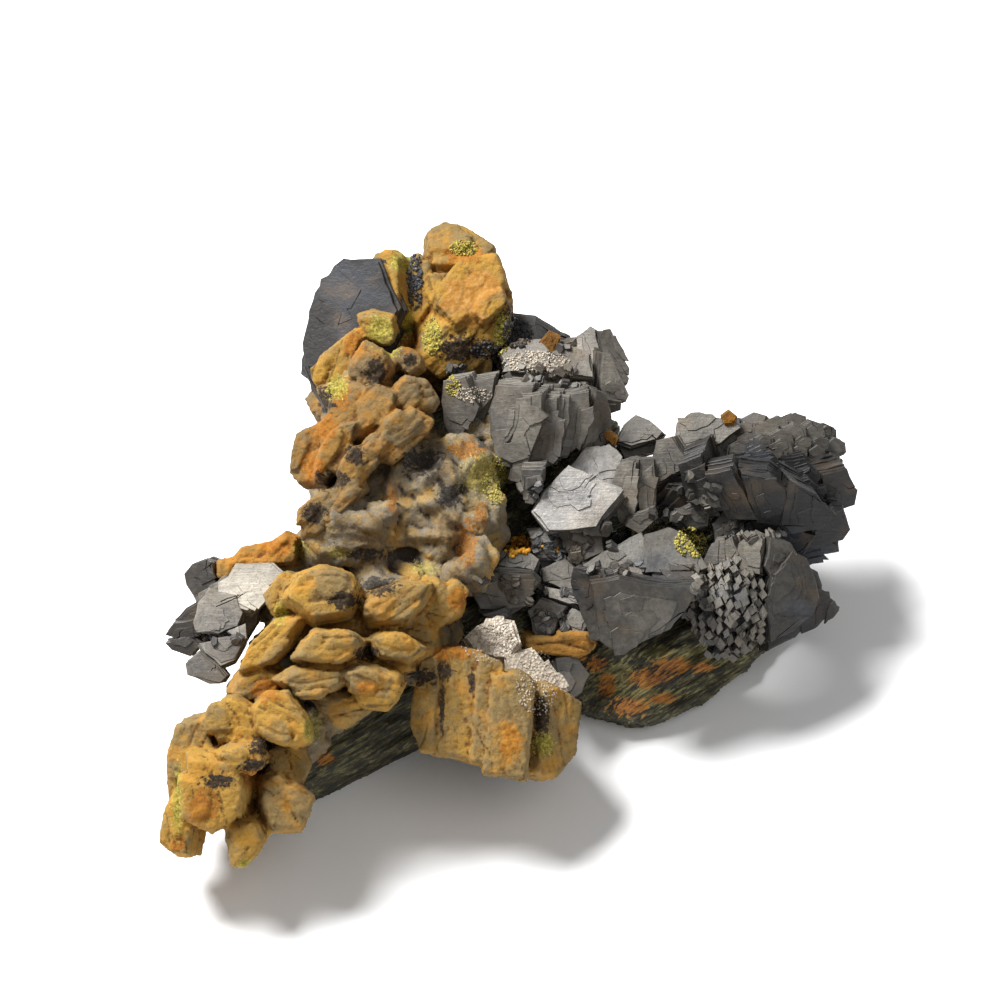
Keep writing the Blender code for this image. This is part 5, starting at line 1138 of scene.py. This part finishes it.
class Shader:
    """A Principled material that is built up step by step; lengths in it are millimetres."""

    def __init__(self, name, roughness, metallic=0.0, specular=0.5):
        self.material = bpy.data.materials.new(name)
        self.material.use_nodes = True
        self.tree = self.material.node_tree
        self.surface = self.tree.nodes["Principled BSDF"]
        self.surface.inputs["Roughness"].default_value = roughness
        self.surface.inputs["Metallic"].default_value = metallic
        self.surface.inputs["Specular IOR Level"].default_value = specular
        self.place = self.node("ShaderNodeTexCoord").outputs["Object"]

    def node(self, kind, **values):
        made = self.tree.nodes.new(kind)
        for key, value in values.items():
            setattr(made, key, value)
        return made

    def feed(self, socket, value):
        if isinstance(value, bpy.types.NodeSocket):
            self.tree.links.new(value, socket)
        elif socket.type == "RGBA":
            socket.default_value = (*value, 1.0)
        else:
            socket.default_value = value

    def number(self, name):
        """A number painted on the mesh."""
        return self.node("ShaderNodeAttribute", attribute_name=name).outputs["Fac"]

    def grain(self):
        return self.node("ShaderNodeUVMap", uv_map="grain").outputs["UV"]

    def mapped(self, place, scale, shift=(0.0, 0.0, 0.0), turn=0.0):
        """A place turned about z, stretched and shifted."""
        mapping = self.node("ShaderNodeMapping")
        self.feed(mapping.inputs["Vector"], place)
        self.feed(mapping.inputs["Scale"], scale)
        self.feed(mapping.inputs["Location"], shift)
        self.feed(mapping.inputs["Rotation"], (0.0, 0.0, turn))
        return mapping.outputs["Vector"]

    def mottle(self, waves, detail, rough, place=None, shift=0.0):
        """Noise from 0 to 1, with its waves a millimetre given once or for x, y and z."""
        if isinstance(waves, float):
            waves = (waves, waves, waves)
        if place is None:
            place, waves = self.place, tuple(wave / MM for wave in waves)
        texture = self.node("ShaderNodeTexNoise")
        self.feed(texture.inputs["Vector"], self.mapped(place, waves, (shift, shift * 0.7, shift * 1.3)))
        self.feed(texture.inputs["Scale"], 1.0)
        self.feed(texture.inputs["Detail"], detail)
        self.feed(texture.inputs["Roughness"], rough)
        return texture.outputs["Fac"]

    def reckoned(self, operation, first, second):
        made = self.node("ShaderNodeMath", operation=operation)
        self.feed(made.inputs[0], first)
        self.feed(made.inputs[1], second)
        return made.outputs["Value"]

    def plus(self, first, second):
        return self.reckoned("ADD", first, second)

    def times(self, first, second):
        return self.reckoned("MULTIPLY", first, second)

    def between(self, value, low, high):
        """0 below low, 1 above high, and smooth in between."""
        made = self.node("ShaderNodeMapRange", interpolation_type="SMOOTHSTEP")
        self.feed(made.inputs["Value"], value)
        self.feed(made.inputs["From Min"], low)
        self.feed(made.inputs["From Max"], high)
        return made.outputs["Result"]

    def patch(self, name, grain, spread=1.6):
        """How far a painted patch shows, its border broken up by a grain."""
        ragged = self.plus(self.times(grain, spread), -0.5 * spread)
        return self.between(self.plus(self.times(self.number(name), 0.7), ragged), 0.42, 0.6)

    def mix(self, share, first, second):
        made = self.node("ShaderNodeMix", data_type="RGBA")
        self.feed(made.inputs["Factor"], share)
        self.feed(made.inputs[6], first)
        self.feed(made.inputs[7], second)
        return made.outputs[2]

    def ramp(self, value, *colours):
        """Colours that a value runs through, each with the value where it is reached."""
        made = self.node("ShaderNodeValToRGB")
        self.feed(made.inputs["Fac"], value)
        band = made.color_ramp
        while len(band.elements) < len(colours):
            band.elements.new(0.5)
        for element, (position, colour) in zip(band.elements, colours):
            element.position = position
            element.color = (*colour, 1.0)
        return made.outputs["Color"]

    def bump(self, height, depth, strength, under=None):
        """Relief from a height of 0 to 1, its depth in millimetres."""
        made = self.node("ShaderNodeBump")
        self.feed(made.inputs["Height"], height)
        self.feed(made.inputs["Distance"], depth * MM)
        self.feed(made.inputs["Strength"], strength)
        if under is not None:
            self.feed(made.inputs["Normal"], under)
        return made.outputs["Normal"]

    def finish(self, colour, normal, roughness=None):
        self.feed(self.surface.inputs["Base Color"], colour)
        self.feed(self.surface.inputs["Normal"], normal)
        if roughness is not None:
            self.feed(self.surface.inputs["Roughness"], roughness)
        return self.material


def linear(red, green, blue):
    """A colour given as it looks, 0 to 255, as the light it stands for."""
    made = []
    for value in (red, green, blue):
        share = value / 255.0
        made.append(share / 12.92 if share <= 0.04045 else ((share + 0.055) / 1.055) ** 2.4)
    return tuple(made)


def ochre_material(name, tips, coat, deep):
    """Matt iron oxide: a coat that is deeper in the grooves and worn grey-brown on the tips, with painted
    shade in the grooves, between the ribs and in dark spots.
    """
    s = Shader(name, roughness=0.85, specular=0.25)
    fine = s.mottle(1.4, 5.0, 0.7)
    wide = s.mottle(0.25, 4.0, 0.65, shift=9.0)
    speck = s.mottle(3.2, 4.0, 0.75, shift=4.0)
    hollow = s.number("hollow")
    worn = s.plus(s.plus(wide, s.times(s.number("tone"), 0.3)), s.times(hollow, -0.5))
    colour = s.mix(s.between(worn, 0.5, 0.85), coat, tips)
    colour = s.mix(s.times(s.between(fine, 0.5, 0.72), 0.6), colour, s.mix(0.5, colour, deep))
    # The grooves go past the deep coat to a darker brown: oxide deeper in the grooves, and painted shade in
    # them.
    groove = s.between(s.plus(hollow, s.times(fine, 0.4)), 0.22, 0.4)
    colour = s.mix(groove, colour, s.mix(0.6, deep, linear(58, 40, 22)))
    # The troughs between the ribs are painted darker: painted shade between the ribs.
    slot = s.between(s.plus(s.number("streak"), s.times(fine, 0.5)), 0.8, 0.5)
    colour = s.mix(s.times(slot, 0.6), colour, linear(64, 42, 20))
    colour = s.mix(s.times(s.between(speck, 0.52, 0.7), 0.55), colour, linear(66, 50, 30))
    orange = s.ramp(speck, (0.35, linear(122, 74, 24)), (0.65, linear(164, 108, 36)))
    colour = s.mix(s.patch("orange", fine), colour, orange)
    rich = s.between(s.mottle(0.35, 3.0, 0.6, shift=15.0), 0.48, 0.66)
    colour = s.mix(s.times(rich, 0.5), colour, s.mix(0.5, coat, linear(186, 120, 24)))
    peach = s.ramp(
        fine, (0.3, linear(142, 94, 34)), (0.5, linear(158, 112, 48)), (0.7, linear(174, 138, 86)),
    )
    colour = s.mix(s.patch("peach", wide), colour, peach)
    # Painted shade in the dark spots between the prisms.
    painted_shade = s.ramp(speck, (0.4, linear(34, 27, 22)), (0.6, linear(66, 52, 36)), (0.7, linear(110, 92, 48)))
    colour = s.mix(s.patch("painted_shade", fine), colour, painted_shade)
    moss = s.ramp(
        speck, (0.4, linear(62, 58, 26)), (0.5, linear(138, 126, 44)), (0.65, linear(176, 166, 84)),
    )
    colour = s.mix(s.patch("sulphur", speck, spread=2.0), colour, moss)
    return s.finish(colour, s.bump(fine, 0.3, 0.8, s.bump(speck, 0.16, 0.8)))


def crust_material():
    """Weathered grey-brown crust with rusty ridges, hollows painted dark as painted shade, spots of painted
    shade and yellow-green grains.
    """
    s = Shader("weathered_crust", roughness=0.75, specular=0.4)
    fine = s.mottle(1.2, 5.0, 0.7)
    wide = s.mottle(0.2, 4.0, 0.65, shift=3.0)
    speck = s.mottle(3.4, 4.0, 0.75, shift=7.0)
    colour = s.ramp(
        wide, (0.34, linear(84, 66, 42)), (0.42, linear(128, 108, 72)), (0.5, linear(116, 108, 94)),
        (0.57, linear(142, 122, 82)), (0.66, linear(160, 122, 58)),
    )
    colour = s.mix(s.between(fine, 0.52, 0.72), colour, linear(150, 116, 64))
    # The hollows are painted dark: painted shade.
    groove = s.between(s.plus(s.number("hollow"), s.times(fine, 0.4)), 0.3, 0.6)
    colour = s.mix(groove, colour, linear(46, 38, 30))
    colour = s.mix(s.times(s.between(speck, 0.5, 0.68), 0.6), colour, linear(62, 52, 40))
    rust = s.ramp(
        speck, (0.35, linear(104, 66, 26)), (0.6, linear(152, 104, 42)), (0.7, linear(172, 138, 66)),
    )
    colour = s.mix(s.patch("orange", fine), colour, rust)
    # Painted shade in the dark spots of the crust.
    painted_shade = s.ramp(speck, (0.4, linear(32, 28, 26)), (0.7, linear(84, 76, 64)))
    colour = s.mix(s.patch("painted_shade", fine), colour, painted_shade)
    moss = s.ramp(
        speck, (0.38, linear(58, 54, 28)), (0.5, linear(146, 132, 50)), (0.66, linear(182, 170, 96)),
    )
    colour = s.mix(s.times(s.patch("sulphur", speck, spread=2.8), 0.8), colour, moss)
    return s.finish(colour, s.bump(fine, 0.25, 0.9, s.bump(speck, 0.18, 0.9)))


def rock_material():
    """Dark green-black fibrous rock with rusty and yellow-green patches."""
    s = Shader("fibrous_skarn", roughness=0.6, specular=0.45)
    along = s.mapped(s.place, (1.0 / MM, 1.0 / MM, 1.0 / MM), turn=-math.radians(FIBRE_TURN))
    fibre = s.mottle((0.35, 3.0, 2.2), 5.0, 0.7, place=along)
    fine = s.mottle(1.6, 5.0, 0.7)
    wide = s.mottle(0.25, 3.0, 0.6, shift=5.0)
    colour = s.ramp(
        fibre, (0.34, linear(20, 21, 17)), (0.46, linear(50, 49, 36)), (0.55, linear(92, 86, 54)),
        (0.66, linear(146, 142, 104)),
    )
    colour = s.mix(s.times(s.between(wide, 0.45, 0.65), 0.6), colour, linear(34, 31, 25))
    moss = s.ramp(
        fibre, (0.4, linear(60, 56, 34)), (0.52, linear(112, 104, 56)), (0.66, linear(168, 164, 118)),
    )
    colour = s.mix(s.patch("sulphur", fibre, spread=2.0), colour, moss)
    rust = s.ramp(
        fibre, (0.36, linear(76, 48, 24)), (0.5, linear(150, 92, 32)), (0.64, linear(196, 138, 58)),
    )
    colour = s.mix(s.patch("orange", fibre, spread=2.2), colour, rust)
    return s.finish(colour, s.bump(fibre, 0.35, 0.9, s.bump(fine, 0.16, 0.7)))


def steel_material(name, dark, middle, light, blue=0.3, metal=0.2, rough=0.52, stripes=0.2):
    """Tarnished grey metal crystal: fine striations, bluish and brownish films and dull spots, with each
    leaf's painted light and shade, painted shade on the sheets' sides and a painted glint at the brightest.
    """
    s = Shader(name, roughness=rough, metallic=metal)
    wide = s.mottle(0.16, 3.0, 0.6, shift=2.0)
    fine = s.mottle(1.3, 5.0, 0.7)
    speck = s.mottle(4.0, 2.0, 0.6, shift=6.0)
    striped = s.mottle((0.25, 3.2, 1.0), 4.0, 0.6, place=s.grain())
    value = s.plus(s.plus(wide, s.times(fine, 0.6)), s.times(striped, stripes))
    value = s.times(value, 1.0 / (1.6 + stripes))
    # Each leaf's tone carries its painted light and painted shade, with a little random tone.
    value = s.plus(value, s.times(s.number("tone"), 0.25))
    # The brightest colour is a painted glint, reached by the brightest leaves and spots.
    painted_glint = tuple(min(1.0, part * 1.7) for part in light)
    colour = s.ramp(value, (0.3, dark), (0.5, middle), (0.68, light), (0.9, painted_glint))
    film = s.between(s.mottle(0.12, 2.0, 0.5, shift=12.0), 0.5, 0.68)
    colour = s.mix(s.times(film, blue), colour, s.mix(0.3, colour, linear(108, 118, 136)))
    film = s.between(s.mottle(0.2, 2.0, 0.5, shift=21.0), 0.52, 0.7)
    colour = s.mix(s.times(film, 0.6), colour, s.mix(0.45, colour, linear(112, 92, 66)))
    # The sheets' sides are painted darker: painted shade between the stacked sheets.
    colour = s.mix(s.times(s.number("rim"), 0.35), colour, dark)
    colour = s.mix(s.times(s.between(speck, 0.58, 0.7), 0.5), colour, dark)
    relief = s.bump(striped, 0.3 * stripes, 0.8, s.bump(fine, 0.12, 0.7, s.bump(speck, 0.04, 0.5)))
    return s.finish(colour, relief, s.plus(s.times(fine, 0.35), rough - 0.17))


def sugar_material():
    """A pale crust of tiny sparkling crystals."""
    s = Shader("pale_sugar_crust", roughness=0.5, metallic=0.15, specular=0.7)
    facets = s.node("ShaderNodeTexVoronoi")
    s.feed(facets.inputs["Vector"], s.mapped(s.place, (2.6 / MM, 2.6 / MM, 2.6 / MM)))
    s.feed(facets.inputs["Scale"], 1.0)
    wide = s.mottle(0.5, 4.0, 0.65)
    speck = s.mottle(3.4, 3.0, 0.7, shift=3.0)
    value = s.times(s.plus(wide, speck), 0.5)
    colour = s.ramp(value, (0.36, linear(142, 130, 116)), (0.6, linear(188, 176, 158)))
    return s.finish(colour, s.bump(facets.outputs["Distance"], 0.16, 0.8, s.bump(speck, 0.08, 0.7)))


def grains_material(name, low, middle, high):
    """Small matt grains of mixed colours."""
    s = Shader(name, roughness=0.6, specular=0.4)
    speck = s.mottle(1.6, 3.0, 0.7)
    return s.finish(s.ramp(speck, (0.38, low), (0.5, middle), (0.64, high)), s.bump(speck, 0.1, 0.5))


def floor_material():
    s = Shader("pale_floor", roughness=0.9, specular=0.2)
    s.feed(s.surface.inputs["Base Color"], (0.93, 0.93, 0.93))
    return s.material


def show(mesh, name, look, slot, *nodes, smooth=False):
    """Puts a finished mesh in its place as one piece of the specimen."""
    mesh.transform(Matrix.Scale(MM, 4) @ Matrix.Translation(-FOOTPRINT_MIDDLE))
    mesh.name = name
    mesh.materials.clear()
    mesh.materials.append(look)
    mesh.polygons.foreach_set("use_smooth", [smooth] * len(mesh.polygons))
    mesh.update()
    piece = bpy.data.objects.new(name, mesh)
    bpy.context.scene.collection.objects.link(piece)
    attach(piece, "root")
    if nodes:
        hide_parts(*nodes)
    return piece


def ground(pieces):
    """All the pieces as one tree that a ray can be cast at, in millimetres."""
    corners = []
    faces = []
    for piece in pieces:
        start = len(corners)
        corners += [Vector(vert.co) / MM + FOOTPRINT_MIDDLE for vert in piece.data.vertices]
        faces += [[start + i for i in polygon.vertices] for polygon in piece.data.polygons]
    return BVHTree.FromPolygons(corners, faces)


def landing(tree, across, up):
    """Where the display face is met at this place, and which way the surface faces there."""
    start = spot(across, up, MIDDLE_HEIGHT) + OUT * 60.0
    return tree.ray_cast(start, -OUT)[:2]


def landings(tree, patches, rng):
    """Where things scattered over the patches land, which way the surface faces there, and their size.

    A patch is across, up, half the width, half the height, how many things and how big.
    """
    for across, up, half_width, half_height, count, size in patches:
        for _ in range(count):
            angle = rng.uniform(0.0, math.tau)
            away = math.sqrt(rng.random())
            aside = math.cos(angle) * away * half_width
            above = math.sin(angle) * away * half_height
            point, normal = landing(tree, across + aside, up + above)
            if point is not None:
                yield point, normal, size


def sprinkled(tree, patches, seed):
    """Tiny crystals scattered on what lies at each patch."""
    rng = random.Random(seed)
    bm = bmesh.new()
    for point, normal, size in landings(tree, patches, rng):
        grown = size * rng.uniform(0.5, 1.3)
        stretch = Matrix.Diagonal((grown, grown * rng.uniform(0.7, 1.0), grown * rng.uniform(0.6, 1.3), 1.0))
        spin = Matrix.Rotation(rng.uniform(0.0, math.tau), 4, "Z")
        tip = Matrix.Rotation(rng.uniform(-0.9, 0.9), 4, "X")
        stand = normal.to_track_quat("Z", "Y").to_matrix().to_4x4()
        place = Matrix.Translation(point + normal * grown * 0.15) @ stand @ spin @ tip @ stretch
        bmesh.ops.create_icosphere(bm, subdivisions=1, radius=0.5, matrix=place)
    return mesh_of(bm, "sprinkle")


def flakes(tree, patches, seed):
    """Small broken plates that lie in the hollows, at each patch."""
    rng = random.Random(seed)
    made = []
    for point, _, size in landings(tree, patches, rng):
        crystal = leaf(
            (0.0, 0.0, 0.0), (size * rng.uniform(0.7, 1.3), size * rng.uniform(0.5, 1.0), size * 0.45),
            rng.uniform(0.0, 180.0), rng.uniform(-35.0, 35.0), rng.uniform(-35.0, 35.0),
            sides=rng.choice((4, 5, 6)), jag=0.2, seed=rng.randrange(9999), shade=rng.uniform(-0.4, 0.6),
        )
        made += sheets_of(moved(crystal, point), sheet=0.3, tooth=0.6, bite=0.1, chips=0.0)
    return combined(made, "UNION")


def shards(tree, places, seed):
    """Small rusty blades that stand in what lies behind them."""
    made = []
    for number, (across, up, width, height, turn) in enumerate(places):
        foot = up - height * 0.5
        point = None
        while point is None:
            point = landing(tree, across, foot)[0]
            foot -= 0.3
        size = (height, width, 1.2)
        crystal = leaf((0.0, 0.0, 0.0), size, 90.0 + turn, lean=-6.0, sides=5, jag=0.2, seed=seed + number)
        made += sheets_of(moved(crystal, point + UP * height * 0.25), sheet=0.4, chips=0.1)
    return combined(made, "UNION")


def smooth_plane(size):
    """A flat square, this far from its middle to its sides."""
    bm = bmesh.new()
    bmesh.ops.create_grid(bm, x_segments=1, y_segments=1, size=size)
    return mesh_of(bm, "floor")


def photo_camera():
    """The camera at the photograph's angle, far enough back to flatten the perspective."""
    data = bpy.data.cameras.new("camera")
    data.sensor_width = SENSOR_WIDTH
    data.lens = SENSOR_WIDTH * CAMERA_DISTANCE / PHOTO_WIDTH
    data.clip_start = 0.01
    camera = bpy.data.objects.new("camera", data)
    target = (Vector((0.0, 0.0, MIDDLE_HEIGHT)) - FOOTPRINT_MIDDLE) * MM
    camera.location = target + OUT * CAMERA_DISTANCE * MM
    camera.rotation_euler = OUT.to_track_quat("Z", "Y").to_euler()
    bpy.context.scene.collection.objects.link(camera)
    bpy.context.scene.camera = camera


def lamp(name, place, size, energy):
    data = bpy.data.lights.new(name, "AREA")
    data.shape = "DISK"
    data.size = size
    data.energy = energy
    light = bpy.data.objects.new(name, data)
    light.location = place
    light.rotation_euler = Vector(place).to_track_quat("Z", "Y").to_euler()
    bpy.context.scene.collection.objects.link(light)


def studio():
    """A plain pale floor under soft light from above and a little behind, on the left."""
    floor = bpy.data.objects.new("floor", smooth_plane(3.0))
    floor.data.materials.append(floor_material())
    bpy.context.scene.collection.objects.link(floor)
    lamp("key", (-0.36, 0.2, 0.66), 0.34, 15.0)
    lamp("fill", (0.35, -0.5, 0.8), 0.9, 2.0)
    world = bpy.data.worlds.new("studio")
    world.use_nodes = True
    background = world.node_tree.nodes["Background"]
    background.inputs["Color"].default_value = (1.0, 1.0, 1.0, 1.0)
    background.inputs["Strength"].default_value = 0.27
    bpy.context.scene.world = world
    bpy.context.scene.view_settings.view_transform = "Standard"


# Where small things lie: across, up, half the width, half the height, how many and how big.
FLAKED = (
    (7.6, -5.6, 3.8, 1.8, 26, 2.0), (24.6, 1.0, 2.4, 2.6, 12, 1.8), (3.6, 0.6, 1.6, 2.0, 8, 1.8),
    (14.4, -4.8, 2.4, 1.4, 12, 1.8), (20.6, -1.8, 2.2, 1.2, 10, 1.8), (8.0, 19.4, 1.8, 0.8, 8, 1.4),
    (24.6, -11.0, 1.2, 3.0, 12, 1.6), (31.0, -4.0, 4.4, 0.9, 14, 1.8), (6.6, -13.6, 3.6, 3.4, 22, 1.5),
    (-33.6, -16.8, 2.4, 1.0, 8, 1.5), (-5.6, 16.4, 1.4, 0.8, 8, 1.4), (14.0, -8.2, 3.6, 1.0, 12, 1.4),
    (0.4, -10.6, 3.2, 1.8, 10, 1.4), (4.0, 15.4, 3.4, 1.2, 16, 1.5), (8.4, 15.4, 2.6, 1.4, 12, 1.5),
)
DRUSE = ((2.2, 21.0, 1.8, 2.0, 160, 0.6), (-1.6, 18.8, 2.0, 1.0, 90, 0.5), (-10.8, 27.6, 1.0, 3.6, 160, 0.5))
SPARKLING = (
    (4.6, 17.2, 4.2, 1.4, 420, 0.28), (-1.0, -17.4, 3.9, 2.2, 320, 0.22), (4.4, -22.2, 2.6, 3.8, 320, 0.22),
    (-3.4, 13.0, 2.4, 1.0, 140, 0.26),
)
MOSSY = (
    (-4.6, 31.9, 1.8, 1.0, 160, 0.28), (0.2, 20.8, 1.0, 2.6, 180, 0.28), (-8.6, 20.6, 1.2, 2.4, 180, 0.28),
    (-5.8, 14.0, 0.9, 1.4, 100, 0.28), (-0.6, 2.4, 1.6, 3.0, 260, 0.28), (23.6, -5.2, 2.2, 1.8, 260, 0.36),
)
KNOBBED = ((2.4, -5.6, 1.6, 1.0, 110, 0.6), (1.4, -6.4, 0.8, 0.6, 30, 0.5), (6.4, -5.6, 1.8, 0.8, 60, 0.5))

# Where rusty shards stand: across, up, width, height, turn.
SHARDS = ((6.3, 20.4, 2.6, 3.6, -8), (13.6, 8.6, 1.8, 2.6, 40), (28.6, 10.8, 2.2, 2.4, -20))

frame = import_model()

# The materials: metal from grey to bright, its darkest partly painted shade and its brightest a painted
# highlight, iron oxide coats, and crusts and grains of small crystals.
GREY = steel_material("grey_arsenopyrite", linear(58, 54, 50), linear(100, 95, 87), linear(140, 134, 123))
# The dark metal is partly a dark film and partly painted shade on the great rosette's down-facing scales.
DARK = steel_material(
    "dark_arsenopyrite_film_and_painted_shade", linear(15, 14, 14), linear(40, 38, 37), linear(78, 74, 67), blue=0.5,
)
MIDDLE = steel_material(
    "dusky_arsenopyrite", linear(40, 38, 36), linear(72, 69, 64), linear(106, 101, 92), blue=0.4,
)
SMOOTH = steel_material(
    "smooth_arsenopyrite", linear(36, 34, 33), linear(66, 63, 58), linear(98, 94, 86),
    blue=0.4, stripes=0.06,
)
# The bright plate's metal is a lighter copy of the grey: a painted highlight where the plate faces the lamp.
PAINTED_HIGHLIGHT_STEEL = steel_material(
    "arsenopyrite_painted_highlight", linear(86, 84, 80), linear(148, 143, 136), linear(186, 180, 170),
    blue=0.5, metal=0.3, rough=0.42,
)
OCHRE = ochre_material("ochre_coat", linear(126, 106, 68), linear(158, 122, 52), linear(140, 92, 32))
RIDGE = ochre_material("ridge_coat", linear(112, 96, 68), linear(134, 102, 50), linear(116, 76, 30))
RUST = ochre_material("rust_coat", linear(136, 104, 52), linear(156, 108, 42), linear(126, 70, 26))
SUGAR = sugar_material()
MOSS = grains_material("yellow_green_grains", linear(60, 60, 34), linear(150, 136, 46), linear(186, 176, 96))
KNOBS = grains_material("orange_knobs", linear(170, 100, 22), linear(212, 146, 30), linear(222, 176, 60))

# The crust and the rock, then the coated prisms, the rusty bars and the clusters of leaves.
pieces = [
    show(crust_mesh(), "weathered_crust_ridge", crust_material(), "limonite", "limonite_ridge", smooth=True),
    show(rock_mesh(), "fibrous_rock", rock_material(), "skarn", "skarn_matrix", smooth=True),
]
for seed, (name, shapes, look, node, detail) in enumerate((
    ("summit_prisms", ilvaite_summit(), OCHRE, "ilvaite_summit", {"wear": 4, "rib": 0.12, "streak": 0.1}),
    ("ridge_prisms", ilvaite_ridge(), RIDGE, "ilvaite_ridge",
     {"wear": 2, "children": 2, "rib": 0.14, "streak": 0.08}),
    ("stacked_prisms", ilvaite_stack(), OCHRE, "ilvaite_stack", {"wear": 4, "streak": 0.12}),
    ("foot_prisms", ilvaite_foot(), OCHRE, "ilvaite_foot", {"wear": 4, "streak": 0.12}),
    ("front_prisms", ilvaite_front_block(), OCHRE, "ilvaite_front_block",
     {"wear": 2, "children": 0, "rib": 0.1}),
    ("back_prisms", back_blocks(), RIDGE, "ilvaite_back_blocks", {}),
)):
    mesh = worn_prisms(shapes, seed + 1.0, **detail)
    pieces.append(show(mesh, name, look, "ochre_ilvaite", node, smooth=True))
for seed, (name, shapes, node) in enumerate((
    ("left_rusty_bar", limonite_left_bar(), "limonite_left_bar"),
    ("front_rusty_bar", limonite_front_bar(), "limonite_front_bar"),
)):
    pieces.append(show(worn_prisms(shapes, seed + 9.0), name, RUST, "limonite", node, smooth=True))
for name, crystals, look, slot, node in (
    ("great_book_leaves", great_book(), GREY, "arsenopyrite", "arsenopyrite_great_book"),
    ("left_book_leaves", left_book(), GREY, "arsenopyrite", "arsenopyrite_left_book"),
    ("wedge_leaves", wedge_crystals(), GREY, "arsenopyrite", "arsenopyrite_wedges"),
    ("bright_leaves", bright_plate(), PAINTED_HIGHLIGHT_STEEL, "bright_arsenopyrite", "arsenopyrite_bright_plate"),
    ("column_leaves", column_book(), GREY, "arsenopyrite", "arsenopyrite_column"),
    ("saddle_leaves", saddle_fan(), GREY, "arsenopyrite", "arsenopyrite_saddle_fan"),
    ("shoulder_leaves", shoulder_leaves(), MIDDLE, "dark_arsenopyrite", "arsenopyrite_shoulder"),
    ("great_rosette_scales", great_rosette(), DARK, "dark_arsenopyrite", "arsenopyrite_great_rosette"),
    ("brick_rosette_scales", brick_rosette(), MIDDLE, "arsenopyrite", "arsenopyrite_brick_rosette"),
    ("front_fan_leaves", front_fan(), SMOOTH, "arsenopyrite", "arsenopyrite_front_fan"),
    ("hollow_leaves", hollow_leaves(), MIDDLE, "dark_arsenopyrite", "arsenopyrite_hollow_leaves"),
    ("stair_leaves", stair_leaves(), GREY, "arsenopyrite", "arsenopyrite_stair"),
    ("edge_leaf", edge_plate(), MIDDLE, "dark_arsenopyrite", "arsenopyrite_edge_plate"),
    ("left_leaves", left_cluster(), GREY, "arsenopyrite", "arsenopyrite_left_cluster"),
    ("dark_top_leaves", dark_top_plate(), SMOOTH, "dark_arsenopyrite", "arsenopyrite_dark_plate"),
    ("back_leaves", back_leaves(), MIDDLE, "arsenopyrite", "arsenopyrite_back_leaves"),
    ("pale_crusted_crystals", pale_crystals(), SUGAR, "pale_crust", "pale_crystals"),
):
    pieces.append(show(crystals_mesh(crystals), name, look, slot, node))

# Small things that lie on the rest.
tree = ground(pieces)
show(flakes(tree, FLAKED, 11), "broken_flakes", MIDDLE, "arsenopyrite")
show(sprinkled(tree, DRUSE, 1), "black_druse", DARK, "dark_arsenopyrite")
show(sprinkled(tree, SPARKLING, 2), "sparkling_crust", SUGAR, "pale_crust")
show(sprinkled(tree, MOSSY, 3), "yellow_green_grains", MOSS, "limonite")
show(sprinkled(tree, KNOBBED, 4), "orange_knobs", KNOBS, "limonite", smooth=True)
show(shards(tree, SHARDS, 5), "rusty_shards", RUST, "limonite")

photo_camera()
studio()
